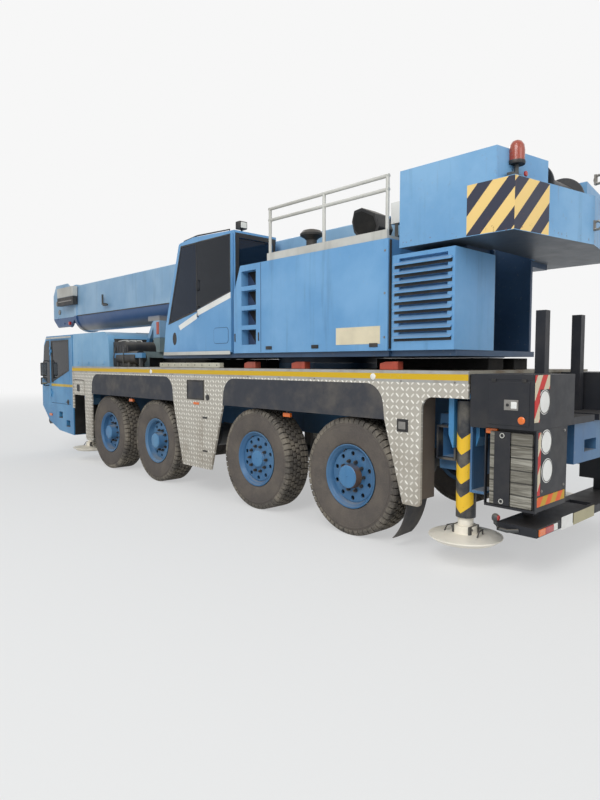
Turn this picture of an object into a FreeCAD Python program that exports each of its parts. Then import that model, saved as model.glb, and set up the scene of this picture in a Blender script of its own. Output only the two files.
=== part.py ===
"""Four-axle mobile crane: carrier, outriggers, slewing superstructure and telescopic boom.

Frame: +X forward, +Y left, +Z up, millimetres. The ground is Z = 0, and X = 0 lies halfway
between the boom's nose and the counterweight's tail. It stands as it travels, boom lowered.
"""

import FreeCAD, Part

import math
import os

import Sketcher
from FreeCAD import Placement, Rotation, Vector

PARTS_FOLDER = "parts"

# name, value (mm, or degrees where the name says so), what it is
SIZES = [
    ("axle_first", 1435, "X of the foremost axle"),
    ("bogie_pitch", 1658, "distance between the two axles of a pair"),
    ("pair_gap", 2554, "distance between axles 2 and 3"),
    ("wheel_radius", 665, "tyre, as loaded"),
    ("tyre_width", 386, "tyre section width"),
    ("tyre_side", 1334, "Y of the tyres' outer walls"),
    ("rim_radius", 330, "rim's well"),
    ("flange_radius", 362, "rim's outer edge"),
    ("disc_thickness", 22, "wheel disc"),
    ("hub_radius", 135, "wheel hub"),
    ("hub_bore", 62, "stub axle in the hub"),
    ("kingpin_side", 850, "Y of the steering pivots"),
    ("kingpin_radius", 45, "steering pivot pin"),
    ("axle_tube_radius", 85, "axle beam"),
    ("run", 0.8, "running clearance of a shaft or pin"),
    ("seat", 0.3, "clearance of pieces that lie on each other"),
    ("deck_top", 1856, "top of the carrier deck"),
    ("deck_side", 1375, "Y of the deck's edge"),
    ("deck_front", 2909, "X of the deck's front end"),
    ("deck_rear", -5942, "X of the deck's rear end"),
    ("rail_height", 118, "deck edge rail"),
    ("plate", 30, "deck, fender and side panel thickness"),
    ("skirt_bottom", 1345, "lower edge of the fenders"),
    ("arch_corner", 240, "rounding of the fenders' top corners"),
    ("frame_side", 400, "Y of the chassis beam's side"),
    ("frame_bottom", 950, "chassis beam's underside"),
    ("frame_top", 1550, "chassis beam's top"),
    ("frame_front", 4300, "front end of the chassis beam"),
    ("front_box_rear", 2375, "front outrigger box"),
    ("rear_box_rear", -5955, "rear outrigger box"),
    ("box_length", 520, "outrigger boxes, along X"),
    ("box_bottom", 860, "outrigger boxes' underside"),
    ("box_height", 560, "outrigger boxes"),
    ("box_wall", 20, "outrigger box plates"),
    ("beam_width", 220, "outrigger beam, along X"),
    ("beam_height", 340, "outrigger beam"),
    ("beam_gap", 10, "clearance of a beam in its box"),
    ("beam_wall", 20, "outrigger beam plates"),
    ("jack_side", 1170, "Y of the jacks, drawn in"),
    ("jack_radius", 95, "jack tube"),
    ("jack_wall", 20, "jack tube's wall"),
    ("jack_bottom", 450, "lower end of a jack tube"),
    ("jack_top", 1570, "upper end of a jack tube"),
    ("pad_radius", 350, "outrigger foot"),
    ("pad_bottom", 220, "height of the lifted feet"),
    ("pad_height", 75, "outrigger foot"),
    ("slew_x", -2895, "X of the slewing centre"),
    ("ring_radius", 750, "slewing ring"),
    ("ring_top", 1930, "carrier's half of the slewing ring"),
    ("upper_floor", 2000, "underside of the superstructure"),
    ("upper_side", 1280, "Y of the superstructure's sides"),
    ("cab_side", 1250, "Y of the driver's cab's sides"),
    ("cab_rear", 3185, "rear wall of the driver's cab"),
    ("cab_wall", 45, "cab panels and doors"),
    ("door_gap", 8, "gap round doors"),
    ("glass", 6, "window panes"),
    ("boom_side", 350, "half width of the boom"),
    ("boom_top", 3730, "top of the lowered boom"),
    ("boom_flat", 3030, "where the boom's rounded lower half starts"),
    ("boom_pivot_x", -5015, "boom's foot pin"),
    ("boom_pivot_z", 3300, "boom's foot pin"),
    ("boom_pin_radius", 70, "boom's foot pin"),
    ("boom_rear", -4200, "rear end of the base section's shell"),
    ("boom_front", 5135, "front end of the base section"),
    ("section_wall", 14, "boom plates"),
    ("section_gap", 16, "clearance between boom sections"),
    ("nose_x", 6585, "foremost point of the boom's head"),
    ("lift_foot_x", -2900, "lift cylinder's lower pin"),
    ("lift_foot_z", 2150, "lift cylinder's lower pin"),
    ("lift_head_x", 1300, "lift cylinder's upper pin"),
    ("lift_radius", 120, "lift cylinder's barrel"),
    ("lift_rod_radius", 70, "lift cylinder's rod"),
    ("lift_pin_radius", 50, "lift cylinder's pins"),
    ("weight_side", 1250, "counterweight's half width"),
    ("weight_bottom", 3105, "counterweight's underside"),
    ("weight_step", 3580, "top of its lower slab"),
    ("weight_top", 3875, "counterweight's top"),
    ("rail_tube", 20, "handrail tube radius"),
]


def formula_of(value):
    """Return a number or a size as text for the document."""
    return value.formula if isinstance(value, Size) else repr(value)


def number_of(value):
    """Return a number or a size as a plain number."""
    return value.value if isinstance(value, Size) else value


class Size:
    """A size that carries both its formula in the document and its present value."""

    def __init__(self, formula, value):
        self.formula = formula
        self.value = value

    def join(self, sign, other, value):
        return Size(f"({self.formula} {sign} {formula_of(other)})", value)

    def joined(self, sign, other, value):
        return Size(f"({formula_of(other)} {sign} {self.formula})", value)

    def __add__(self, other):
        return self.join("+", other, self.value + number_of(other))

    def __radd__(self, other):
        return self.joined("+", other, number_of(other) + self.value)

    def __sub__(self, other):
        return self.join("-", other, self.value - number_of(other))

    def __rsub__(self, other):
        return self.joined("-", other, number_of(other) - self.value)

    def __mul__(self, other):
        return self.join("*", other, self.value * number_of(other))

    def __rmul__(self, other):
        return self.joined("*", other, number_of(other) * self.value)

    def __truediv__(self, other):
        return self.join("/", other, self.value / number_of(other))

    def __neg__(self):
        return self * -1


class Sizes:
    """The named sizes, as attributes."""


doc = FreeCAD.newDocument("mobile_crane")
sheet = doc.addObject("Spreadsheet::Sheet", "Sizes")
S = Sizes()
for row, (alias, value, meaning) in enumerate(SIZES, start=1):
    sheet.set(f"A{row}", meaning)
    sheet.set(f"B{row}", str(value))
    sheet.setAlias(f"B{row}", alias)
    setattr(S, alias, Size(f"Sizes.{alias}", value))
doc.recompute()

# Places that several pieces share.
AXLES = [S.axle_first, S.axle_first - S.bogie_pitch,
         S.axle_first - S.bogie_pitch - S.pair_gap,
         S.axle_first - S.bogie_pitch - S.pair_gap - S.bogie_pitch]
SIDES = [("left", 1), ("right", -1)]
BOOM_LOW = S.boom_flat - S.boom_side
BOOM_MIDDLE = (S.boom_flat + S.boom_top) / 2
LIFT_HEAD_Z = BOOM_LOW - 120
HOOD_TOP = BOOM_LOW - 175
REST_TOP = BOOM_LOW - 295
ACROSS = {"X": Rotation(Vector(0, 1, 0), 90), "Y": Rotation(Vector(1, 0, 0), -90), "Z": Rotation()}
NODES = []


def bind(thing, prop, value):
    """Tie a property to its formula, or set it where it is a plain number."""
    if isinstance(value, Size):
        thing.setExpression(prop, value.formula)
    elif prop.startswith("Placement.Base."):
        base = thing.Placement.Base
        setattr(base, prop[-1], float(value))
        thing.Placement = Placement(base, thing.Placement.Rotation)
    else:
        setattr(thing, prop, value)


def put(thing, x, y, z):
    """Place an object's own origin."""
    for axis, value in zip("xyz", (x, y, z)):
        bind(thing, f"Placement.Base.{axis}", value)
    return thing


def block(name, x, y, z):
    """Return a box; x, y and z are each (low, high)."""
    box = doc.addObject("Part::Box", name)
    for prop, (low, high) in zip(("Length", "Width", "Height"), (x, y, z)):
        bind(box, prop, high - low)
    return put(box, x[0], y[0], z[0])


def rod(name, axis, at, radius, length, inner=None):
    """Return a cylinder, or a tube, that runs from a point along +axis."""
    solid = doc.addObject("Part::Cylinder", name)
    solid.Placement = Placement(Vector(), ACROSS[axis])
    bind(solid, "Radius", radius)
    bind(solid, "Height", length)
    put(solid, *at)
    if inner is None:
        return solid
    return cut(f"{name}_tube", solid, rod(f"{name}_bore", axis, at, inner, length))


def fuse(name, pieces):
    """Return the union of pieces that touch."""
    union = doc.addObject("Part::MultiFuse", name)
    union.Shapes = pieces
    union.Refine = True
    return union


def cut(name, base, *tools):
    """Return a piece with the tools taken out."""
    result = base
    for number, tool in enumerate(tools):
        step = doc.addObject("Part::Cut", f"{name}_{number}")
        step.Base = result
        step.Tool = tool
        result = step
    return result


def group(name, pieces):
    """Return pieces that don't touch as one object."""
    compound = doc.addObject("Part::Compound", name)
    compound.Links = pieces
    return compound


def mirror(name, source):
    """Return a piece's mirror image across the vertical mid plane."""
    image = doc.addObject("Part::Mirroring", name)
    image.Source = source
    image.Normal = Vector(0, 1, 0)
    return image


def node(label, thing):
    """Name a finished sub-part; its label names its file."""
    thing.Label = label
    NODES.append(thing)
    return thing


def origin_plane(body, role):
    """Return one of a body's own origin planes."""
    return next(plane for plane in body.Origin.OriginFeatures if plane.Role == role)


def draw(sketch, corners):
    """Draw a closed outline: each corner is (across, up) or (across, up, rounding)."""
    points = [Vector(number_of(corner[0]), number_of(corner[1]), 0) for corner in corners]
    count = len(points)
    ends = []
    arcs = {}
    for index, point in enumerate(points):
        radius = number_of(corners[index][2]) if len(corners[index]) > 2 else 0
        if not radius:
            ends.append((point, point))
            continue
        back = (points[index - 1] - point).normalize()
        ahead = (points[(index + 1) % count] - point).normalize()
        half = back.getAngle(ahead) / 2
        start = point + back * (radius / math.tan(half))
        stop = point + ahead * (radius / math.tan(half))
        centre = point + (back + ahead).normalize() * (radius / math.sin(half))
        arcs[index] = (start, stop, centre, radius)
        ends.append((start, stop))
    lines = [sketch.addGeometry(Part.LineSegment(ends[index][1], ends[(index + 1) % count][0]), False)
             for index in range(count)]
    rules = []
    formulas = []

    def fix(kind, item, end, value):
        rules.append(Sketcher.Constraint(kind, -1, 1, item, end, number_of(value)))
        if isinstance(value, Size):
            formulas.append((len(rules) - 1, value.formula))

    for index in range(count):
        before = lines[index - 1]
        after = lines[index]
        if index not in arcs:
            rules.append(Sketcher.Constraint("Coincident", before, 2, after, 1))
            fix("DistanceX", after, 1, corners[index][0])
            fix("DistanceY", after, 1, corners[index][1])
            continue
        start, stop, centre, radius = arcs[index]
        angles = [math.atan2(end.y - centre.y, end.x - centre.x) for end in (start, stop)]
        turn = (points[index] - points[index - 1]).cross(points[(index + 1) % count] - points[index]).z
        first, last = (1, 2) if turn > 0 else (2, 1)
        if turn < 0:
            angles.reverse()
        circle = Part.Circle(centre, Vector(0, 0, 1), radius)
        arc = sketch.addGeometry(Part.ArcOfCircle(circle, *angles), False)
        corner = sketch.addGeometry(Part.Point(points[index]), True)
        rules.append(Sketcher.Constraint("Tangent", before, 2, arc, first))
        rules.append(Sketcher.Constraint("Tangent", arc, last, after, 1))
        rules.append(Sketcher.Constraint("Radius", arc, radius))
        if isinstance(corners[index][2], Size):
            formulas.append((len(rules) - 1, corners[index][2].formula))
        rules.append(Sketcher.Constraint("PointOnObject", corner, 1, before))
        rules.append(Sketcher.Constraint("PointOnObject", corner, 1, after))
        fix("DistanceX", corner, 1, corners[index][0])
        fix("DistanceY", corner, 1, corners[index][1])
    sketch.addConstraint(rules)
    for index, formula in formulas:
        sketch.setExpression(f"Constraints[{index}]", formula)


def sketched(name, role, corners):
    """Return a new body and the closed outline drawn on one of its own planes."""
    body = doc.addObject("PartDesign::Body", name)
    sketch = body.newObject("Sketcher::SketchObject", f"{name}_outline")
    sketch.AttachmentSupport = [(origin_plane(body, role), "")]
    sketch.MapMode = "FlatFace"
    draw(sketch, corners)
    return body, sketch


def extrude(name, role, corners, low, high):
    """Return an outline pulled from low to high along the axis square to its plane."""
    body, sketch = sketched(name, role, corners)
    pad = body.newObject("PartDesign::Pad", f"{name}_pad")
    pad.Profile = sketch
    pad.Reversed = role == "XZ_Plane"
    bind(pad, "Length", high - low)
    axis = {"XZ_Plane": "y", "YZ_Plane": "x", "XY_Plane": "z"}[role]
    bind(body, f"Placement.Base.{axis}", low)
    return body


def side_plate(name, corners, low, high):
    """Return a plate with an (X, Z) outline, from Y = low to Y = high."""
    return extrude(name, "XZ_Plane", corners, low, high)


def cross_plate(name, corners, low, high):
    """Return a bar with a (Y, Z) outline, from X = low to X = high."""
    return extrude(name, "YZ_Plane", corners, low, high)


def flat_plate(name, corners, low, high):
    """Return a plate with an (X, Y) outline, from Z = low to Z = high."""
    return extrude(name, "XY_Plane", corners, low, high)


def turned(name, corners, x, y, z):
    """Return a solid of revolution about an axle along Y; corners are (radius, along)."""
    body, sketch = sketched(name, "XY_Plane", corners)
    spin = body.newObject("PartDesign::Revolution", f"{name}_spin")
    spin.Profile = sketch
    spin.ReferenceAxis = (sketch, ["V_Axis"])
    spin.Angle = 360
    return put(body, x, y, z)


def faceted(name, corners, sides, x, z):
    """Return a many-sided solid along Y; corners are (radius, Y) of its vertices, in order of Y."""
    rings = []
    for number, (radius, y) in enumerate(corners):
        ring = doc.addObject("Part::RegularPolygon", f"{name}_ring_{number}")
        ring.Polygon = sides
        ring.Placement = Placement(Vector(), ACROSS["Y"])
        bind(ring, "Circumradius", radius)
        rings.append(put(ring, x, y, z))
    loft = doc.addObject("Part::Loft", name)
    loft.Sections = rings
    loft.Solid = True
    loft.Ruled = True
    return loft


# Carrier frame: a box beam, two transverse outrigger boxes and the slewing ring's lower half.

def channel(name, rear, sign):
    """Return the space of one side's outrigger beam, right across the carrier."""
    low = beam_low(rear, sign)
    return block(name, (low - S.beam_gap, low + S.beam_width + S.beam_gap), (-S.deck_side, S.deck_side),
                 (BEAM_BOTTOM - S.seat, BEAM_BOTTOM + S.beam_height + S.beam_gap))


def outrigger_box(name, rear):
    """Return the two halves of a transverse box, one each side of the chassis beam."""
    halves = []
    for side, sign in SIDES:
        shell = block(f"{name}_{side}", (rear, rear + S.box_length), (S.frame_side + S.seat, BOX_END),
                      (S.box_bottom, S.box_bottom + S.box_height))
        half = cut(f"{name}_{side}_open", shell, *[channel(f"{name}_{side}_channel_{other}", rear, way * sign)
                                                  for other, way in SIDES])
        halves.append(half if sign > 0 else mirror(f"{name}_{side}_mirror", half))
    return halves


BOX_END = S.jack_side - S.jack_radius - 30
BEAM_BOTTOM = S.box_bottom + (S.box_height - S.beam_height) / 2
TAIL_TOP = S.frame_bottom + 405
FRONT_BOX = S.front_box_rear
REAR_BOX = S.rear_box_rear


def beam_low(rear, sign):
    """Return the low X of a side's beam in the box that starts at rear."""
    spare = (S.box_length - 2 * S.beam_width) / 3
    return rear + (spare if sign > 0 else 2 * spare + S.beam_width)


def chassis_frame():
    low_front = 620
    bend = S.axle_first + 850
    neck_rear = FRONT_BOX + S.box_length
    neck_front = S.cab_rear - 60
    bent = (neck_rear - bend) / (neck_front - bend)
    neck_low = S.frame_bottom + bent * (low_front - S.frame_bottom)
    neck_high = S.frame_top + bent * (S.frame_bottom - S.frame_top)
    beam = side_plate("chassis_beam", [
        (S.rear_box_rear, S.frame_bottom), (bend, S.frame_bottom), (neck_rear, neck_low), (neck_rear, neck_high),
        (bend, S.frame_top), (S.rear_box_rear, S.frame_top)], -S.frame_side, S.frame_side)
    neck = side_plate("chassis_neck", [
        (neck_rear + S.seat, neck_low), (neck_front, low_front), (neck_front, S.frame_bottom),
        (neck_rear + S.seat, neck_high)], -S.frame_side, S.frame_side)
    nose = block("chassis_nose", (neck_front + S.seat, S.frame_front), (-S.frame_side, S.frame_side),
                 (low_front, S.frame_bottom))
    tail = side_plate("tail_beam", [
        (S.rear_box_rear - 560, S.frame_bottom), (S.rear_box_rear, S.frame_bottom),
        (S.rear_box_rear, TAIL_TOP), (S.rear_box_rear - 560, TAIL_TOP)],
        -S.frame_side, S.frame_side)
    keels = [block(f"box_keel_{number}", (rear, rear + S.box_length), (-S.frame_side, S.frame_side),
                   (S.box_bottom, S.frame_bottom + 20)) for number, rear in enumerate((FRONT_BOX, REAR_BOX))]
    channels = [channel(f"frame_channel_{number}", rear, sign)
                for number, (rear, sign) in enumerate((rear, sign) for rear in (FRONT_BOX, REAR_BOX)
                                                      for side, sign in SIDES)]
    tow_bore = rod("tow_bore", "Z", (S.rear_box_rear - 480, 0, S.frame_bottom - 10), 25, 900)
    tow_slot = block("tow_slot", (S.rear_box_rear - 600, S.rear_box_rear - 380), (-150, 150),
                     (S.frame_bottom + 100, S.frame_bottom + 220))
    spine = cut("chassis", fuse("chassis_whole", [beam, tail] + keels), *channels, tow_bore, tow_slot)
    ring = fuse("ring_seat", [
        block("ring_base", (S.slew_x - 900, S.slew_x + 900), (-700, 700), (S.frame_top + S.seat, S.frame_top + 60)),
        rod("ring_lower", "Z", (S.slew_x, 0, S.frame_top + 30), S.ring_radius, S.ring_top - S.frame_top - 30)])
    node("chassis_frame", group("chassis_frame", [spine, neck, nose, ring] + outrigger_box("front_box", FRONT_BOX)
                                + outrigger_box("rear_box", REAR_BOX)))


def axle_beams():
    """The four axle beams with their kingpin eyes and the links that carry them."""
    beams = []
    for number, x in enumerate(AXLES, start=1):
        steered = number != 3
        reach = S.kingpin_side - 75 if steered else S.kingpin_side + 60
        tube = rod(f"axle_{number}_tube", "Y", (x, -reach, S.wheel_radius), S.axle_tube_radius, reach * 2)
        drive = rod(f"axle_{number}_drive", "Y", (x, -130, S.wheel_radius), 190, 260)
        pieces = [tube, drive]
        for side, sign in SIDES:
            low = 300 if sign > 0 else -360
            pieces.append(block(f"axle_{number}_hanger_{side}", (x - 60, x + 60), (low, low + 60),
                                (S.wheel_radius, S.frame_bottom)))
            if steered:
                pin_y = S.kingpin_side * sign
                pieces.append(block(f"axle_{number}_web_{side}", (x - 60, x + 60),
                                    (pin_y - 100, pin_y - 70) if sign > 0 else (pin_y + 70, pin_y + 100),
                                    (S.wheel_radius - 170, S.wheel_radius + 170)))
                for level in (-170, 130):
                    pieces.append(block(f"axle_{number}_ear_{side}_{level + 170}", (x - 60, x + 60),
                                        (pin_y - 100, pin_y + 60) if sign > 0 else (pin_y - 60, pin_y + 100),
                                        (S.wheel_radius + level, S.wheel_radius + level + 40)))
                pieces.append(rod(f"axle_{number}_kingpin_{side}", "Z", (x, pin_y, S.wheel_radius - 170),
                                  S.kingpin_radius, 340))
            else:
                low = S.kingpin_side if sign > 0 else -STUB_END
                pieces.append(rod(f"axle_{number}_stub_{side}", "Y", (x, low, S.wheel_radius),
                                  S.hub_bore, STUB_END - S.kingpin_side))
        beams.append(fuse(f"axle_{number}", pieces))
    node("axle_beams", group("axle_beams", beams))


STUB_END = S.tyre_side - 60


def knuckle(number, x, side, sign):
    """A steering knuckle: a barrel on the kingpin, and the stub axle that carries the wheel."""
    barrel = rod(f"knuckle_{number}_{side}_barrel", "Z", (x, S.kingpin_side, S.wheel_radius - 128),
                 S.kingpin_radius + 22, 256)
    stub = rod(f"knuckle_{number}_{side}_stub", "Y", (x, S.kingpin_side, S.wheel_radius),
               S.hub_bore, STUB_END - S.kingpin_side)
    arm = block(f"knuckle_{number}_{side}_arm", (x - 230, x), (S.kingpin_side - 25, S.kingpin_side + 25),
                (S.wheel_radius - 100, S.wheel_radius - 60))
    hole = rod(f"knuckle_{number}_{side}_hole", "Z", (x, S.kingpin_side, S.wheel_radius - 140),
               S.kingpin_radius + S.run, 280)
    body = cut(f"knuckle_{number}_{side}", fuse(f"knuckle_{number}_{side}_whole", [barrel, stub, arm]), hole)
    return body if sign > 0 else mirror(f"knuckle_{number}_{side}_mirror", body)


def knuckles():
    for number, x in enumerate(AXLES, start=1):
        if number == 3:
            continue
        for side, sign in SIDES:
            node(f"knuckle_{number}_{side}", knuckle(number, x, side, sign))


def wheels():
    """Tyres and rims; the rims of each axle differ in how far their hubs stand out."""
    # per axle: how far the disc lies in, and how far the hub stands out, from the tyre's outer wall
    shapes = [(120, 5), (120, 5), (72, -40), (80, 20)]
    inner = S.tyre_side - S.tyre_width
    for number, (x, (disc_depth, hub_end)) in enumerate(zip(AXLES, shapes), start=1):
        for side, sign in SIDES:
            name = f"{number}_{side}"
            def ring(part, corners, sides=36):
                return faceted(f"{part}_{name}", corners, sides, x, S.wheel_radius)

            tyre = cut(f"tyre_{name}_left", ring("tyre_outer", [
                (S.wheel_radius - 60, inner), (S.wheel_radius, inner + 45), (S.wheel_radius, S.tyre_side - 45),
                (S.wheel_radius - 60, S.tyre_side)]), ring("tyre_bore", [
                    (S.rim_radius + S.seat, inner - 10), (S.rim_radius + S.seat, S.tyre_side + 10)]),
                ring("tyre_bead_in", [(S.flange_radius + 1, inner - 10), (S.flange_radius + 1, inner + 38)]),
                ring("tyre_bead_out", [(S.flange_radius + 1, S.tyre_side - 38),
                                       (S.flange_radius + 1, S.tyre_side + 10)]))
            disc = S.tyre_side - disc_depth
            barrel = cut(f"rim_barrel_{name}", fuse(f"rim_barrel_whole_{name}", [
                ring("rim_well", [(S.rim_radius, inner + 24), (S.rim_radius, S.tyre_side - 24)]),
                ring("rim_flange_in", [(S.flange_radius, inner + 24), (S.flange_radius, inner + 37)]),
                ring("rim_flange_out", [(S.flange_radius, S.tyre_side - 37), (S.flange_radius, S.tyre_side - 24)])]),
                ring("rim_inside", [(S.rim_radius - 22, inner + 10), (S.rim_radius - 22, S.tyre_side - 10)]))
            centre = cut(f"rim_centre_{name}", fuse(f"rim_centre_whole_{name}", [
                ring("rim_disc", [(S.rim_radius - 10, disc - S.disc_thickness), (S.rim_radius - 10, disc)]),
                ring("rim_hub", [(S.hub_radius, disc - 150), (S.hub_radius - 12, S.tyre_side + hub_end)], 24)]),
                rod(f"rim_bore_{name}", "Y", (x, disc - 200, S.wheel_radius), S.hub_bore + S.run,
                    STUB_END + 6 - disc + 200))
            rim = fuse(f"rim_{name}_left", [barrel, centre])
            if sign < 0:
                tyre = mirror(f"tyre_{name}_mirror", tyre)
                rim = mirror(f"rim_{name}_mirror", rim)
            node(f"tyre_{name}", tyre)
            node(f"rim_{name}", rim)


def outriggers():
    """Beams that slide out sideways, with the jack tubes at their ends, and the jack rods with feet."""
    for place, rear in (("front", FRONT_BOX), ("rear", REAR_BOX)):
        for side, sign in SIDES:
            name = f"{place}_{side}"
            low = beam_low(rear, sign)
            centre = low + S.beam_width / 2
            end = S.jack_side - S.jack_radius + 10
            beam = block(f"beam_{name}_bar", (low, low + S.beam_width), (-1150, end),
                         (BEAM_BOTTOM, BEAM_BOTTOM + S.beam_height))
            hollow = block(f"beam_{name}_hollow", (low + S.beam_wall, low + S.beam_width - S.beam_wall),
                           (-1160, end - S.beam_wall),
                           (BEAM_BOTTOM + S.beam_wall, BEAM_BOTTOM + S.beam_height - S.beam_wall))
            tube = rod(f"jack_tube_{name}", "Z", (centre, S.jack_side, S.jack_bottom), S.jack_radius,
                       S.jack_top - S.jack_bottom)
            bore = rod(f"jack_bore_{name}", "Z", (centre, S.jack_side, S.jack_bottom - 10),
                       S.jack_radius - S.jack_wall, S.jack_top - S.jack_bottom - 30)
            arm = cut(f"beam_{name}", fuse(f"beam_{name}_whole", [
                cut(f"beam_{name}_box", beam, hollow), tube]), bore)
            foot = fuse(f"foot_{name}", [
                rod(f"jack_rod_{name}", "Z", (centre, S.jack_side, S.pad_bottom + 20),
                    S.jack_radius - S.jack_wall - S.run, S.jack_top - S.pad_bottom - 120),
                rod(f"jack_socket_{name}", "Z", (centre, S.jack_side, S.pad_bottom + 20), 110, 130),
                foot_disc(name, centre)])
            if sign < 0:
                arm = mirror(f"beam_{name}_mirror", arm)
                foot = mirror(f"foot_{name}_mirror", foot)
            node(f"outrigger_beam_{name}", arm)
            node(f"outrigger_jack_{name}", foot)


def foot_disc(name, centre):
    body, sketch = sketched(f"foot_disc_{name}", "XZ_Plane", [
        (0, 0), (S.pad_radius - 60, 0), (S.pad_radius, 40), (S.pad_radius, 52), (150, S.pad_height), (0, S.pad_height)])
    spin = body.newObject("PartDesign::Revolution", f"foot_disc_{name}_spin")
    spin.Profile = sketch
    spin.ReferenceAxis = (sketch, ["V_Axis"])
    spin.Angle = 360
    return put(body, centre, S.jack_side, S.pad_bottom)


# Carrier bodywork. Outlines are (X, Z) pairs, clockwise or anticlockwise, with a rounding where given.

def deck():
    plate = block("deck_plate", (S.deck_rear, S.deck_front), (-S.deck_side, S.deck_side),
                  (S.deck_top - S.plate, S.deck_top))
    rails = [block(f"deck_rail_{side}", (S.deck_rear, S.deck_front),
                   (S.deck_side - S.plate, S.deck_side) if sign > 0 else (-S.deck_side, S.plate - S.deck_side),
                   (S.deck_top - S.rail_height, S.deck_top - S.plate - S.seat)) for side, sign in SIDES]
    webs = [block(f"deck_web_{number}_{side}", span, (350 * sign - 10, 350 * sign + 10),
                  (S.frame_top + S.seat, S.deck_top - S.plate - S.seat))
            for number, span in enumerate([(S.deck_rear, S.slew_x - 905), (S.slew_x + 905, AXLES[0] + 800)])
            for side, sign in SIDES]
    opening = rod("deck_opening", "Z", (S.slew_x, 0, S.deck_top - 60), S.ring_radius + 30, 100)
    node("deck", group("deck", [cut("deck_open", plate, opening)] + rails + webs))


# Upper corners of the two wheel openings: rear X, front X
ARCHES = [(S.axle_first - S.bogie_pitch - 600, S.axle_first + 560),
          (AXLES[3] - 495, AXLES[2] + 600)]


ARCH_TOP = S.deck_top - S.rail_height - 20


def fenders():
    """Dark fender skirts over each pair of wheels, with their inner arches."""
    top = ARCH_TOP
    pieces = []
    for number, (rear, front) in enumerate(ARCHES):
        outline = [(rear - 40, S.skirt_bottom), (rear, top, S.arch_corner),
                   (front, top, S.arch_corner), (front + 40, S.skirt_bottom)]
        inside = [(rear - 40 + S.plate, S.skirt_bottom - 5),
                  (rear + S.plate, top - S.plate, S.arch_corner - S.plate),
                  (front - S.plate, top - S.plate, S.arch_corner - S.plate),
                  (front + 40 - S.plate, S.skirt_bottom - 5)]
        for side, sign in SIDES:
            skin = side_plate(f"fender_{number}_{side}_skin", outline, S.deck_side - S.plate, S.deck_side)
            arch = cut(f"fender_{number}_{side}_arch",
                       side_plate(f"fender_{number}_{side}_outer", outline, 790, S.deck_side - S.plate - S.seat),
                       side_plate(f"fender_{number}_{side}_inner", inside, 780, S.deck_side))
            for part in (skin, arch):
                pieces.append(part if sign > 0 else mirror(f"{part.Name}_mirror", part))
    node("fenders", group("fenders", pieces))


def side_panels():
    """Aluminium chequer plate, one sheet a side, with its wheel and outrigger openings."""
    top = S.deck_top - S.rail_height
    (rear_1, front_1), (rear_2, front_2) = ARCHES
    box_front = S.rear_box_rear + S.box_length + 5
    outline = [
        (S.deck_front, top), (S.deck_front, 1030), (S.deck_front - 40, 1030),
        (S.deck_front - 40, S.jack_top + 30), (S.front_box_rear - 25, S.jack_top + 30, 60),
        (S.front_box_rear - 60, 450, 30), (front_1 + 60, 450), (front_1 + 40, S.skirt_bottom),
        (front_1, ARCH_TOP, S.arch_corner), (rear_1, ARCH_TOP, S.arch_corner),
        (rear_1 - 40, S.skirt_bottom), (rear_1 - 292, 400, 20), (front_2 + 327, 400, 20),
        (front_2 + 40, S.skirt_bottom), (front_2, ARCH_TOP, S.arch_corner),
        (rear_2, ARCH_TOP, S.arch_corner), (rear_2 - 40, S.skirt_bottom), (rear_2 - 285, 500, 20),
        (box_front, 500, 40), (box_front, S.jack_top + 30, 120), (S.deck_rear, S.jack_top + 30),
        (S.deck_rear, top)]
    node("side_panels", group("side_panels", [
        side_plate(f"panel_{side}", outline,
                   *((S.deck_side - S.plate, S.deck_side) if sign > 0 else (-S.deck_side, S.plate - S.deck_side)))
        for side, sign in SIDES]))


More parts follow.
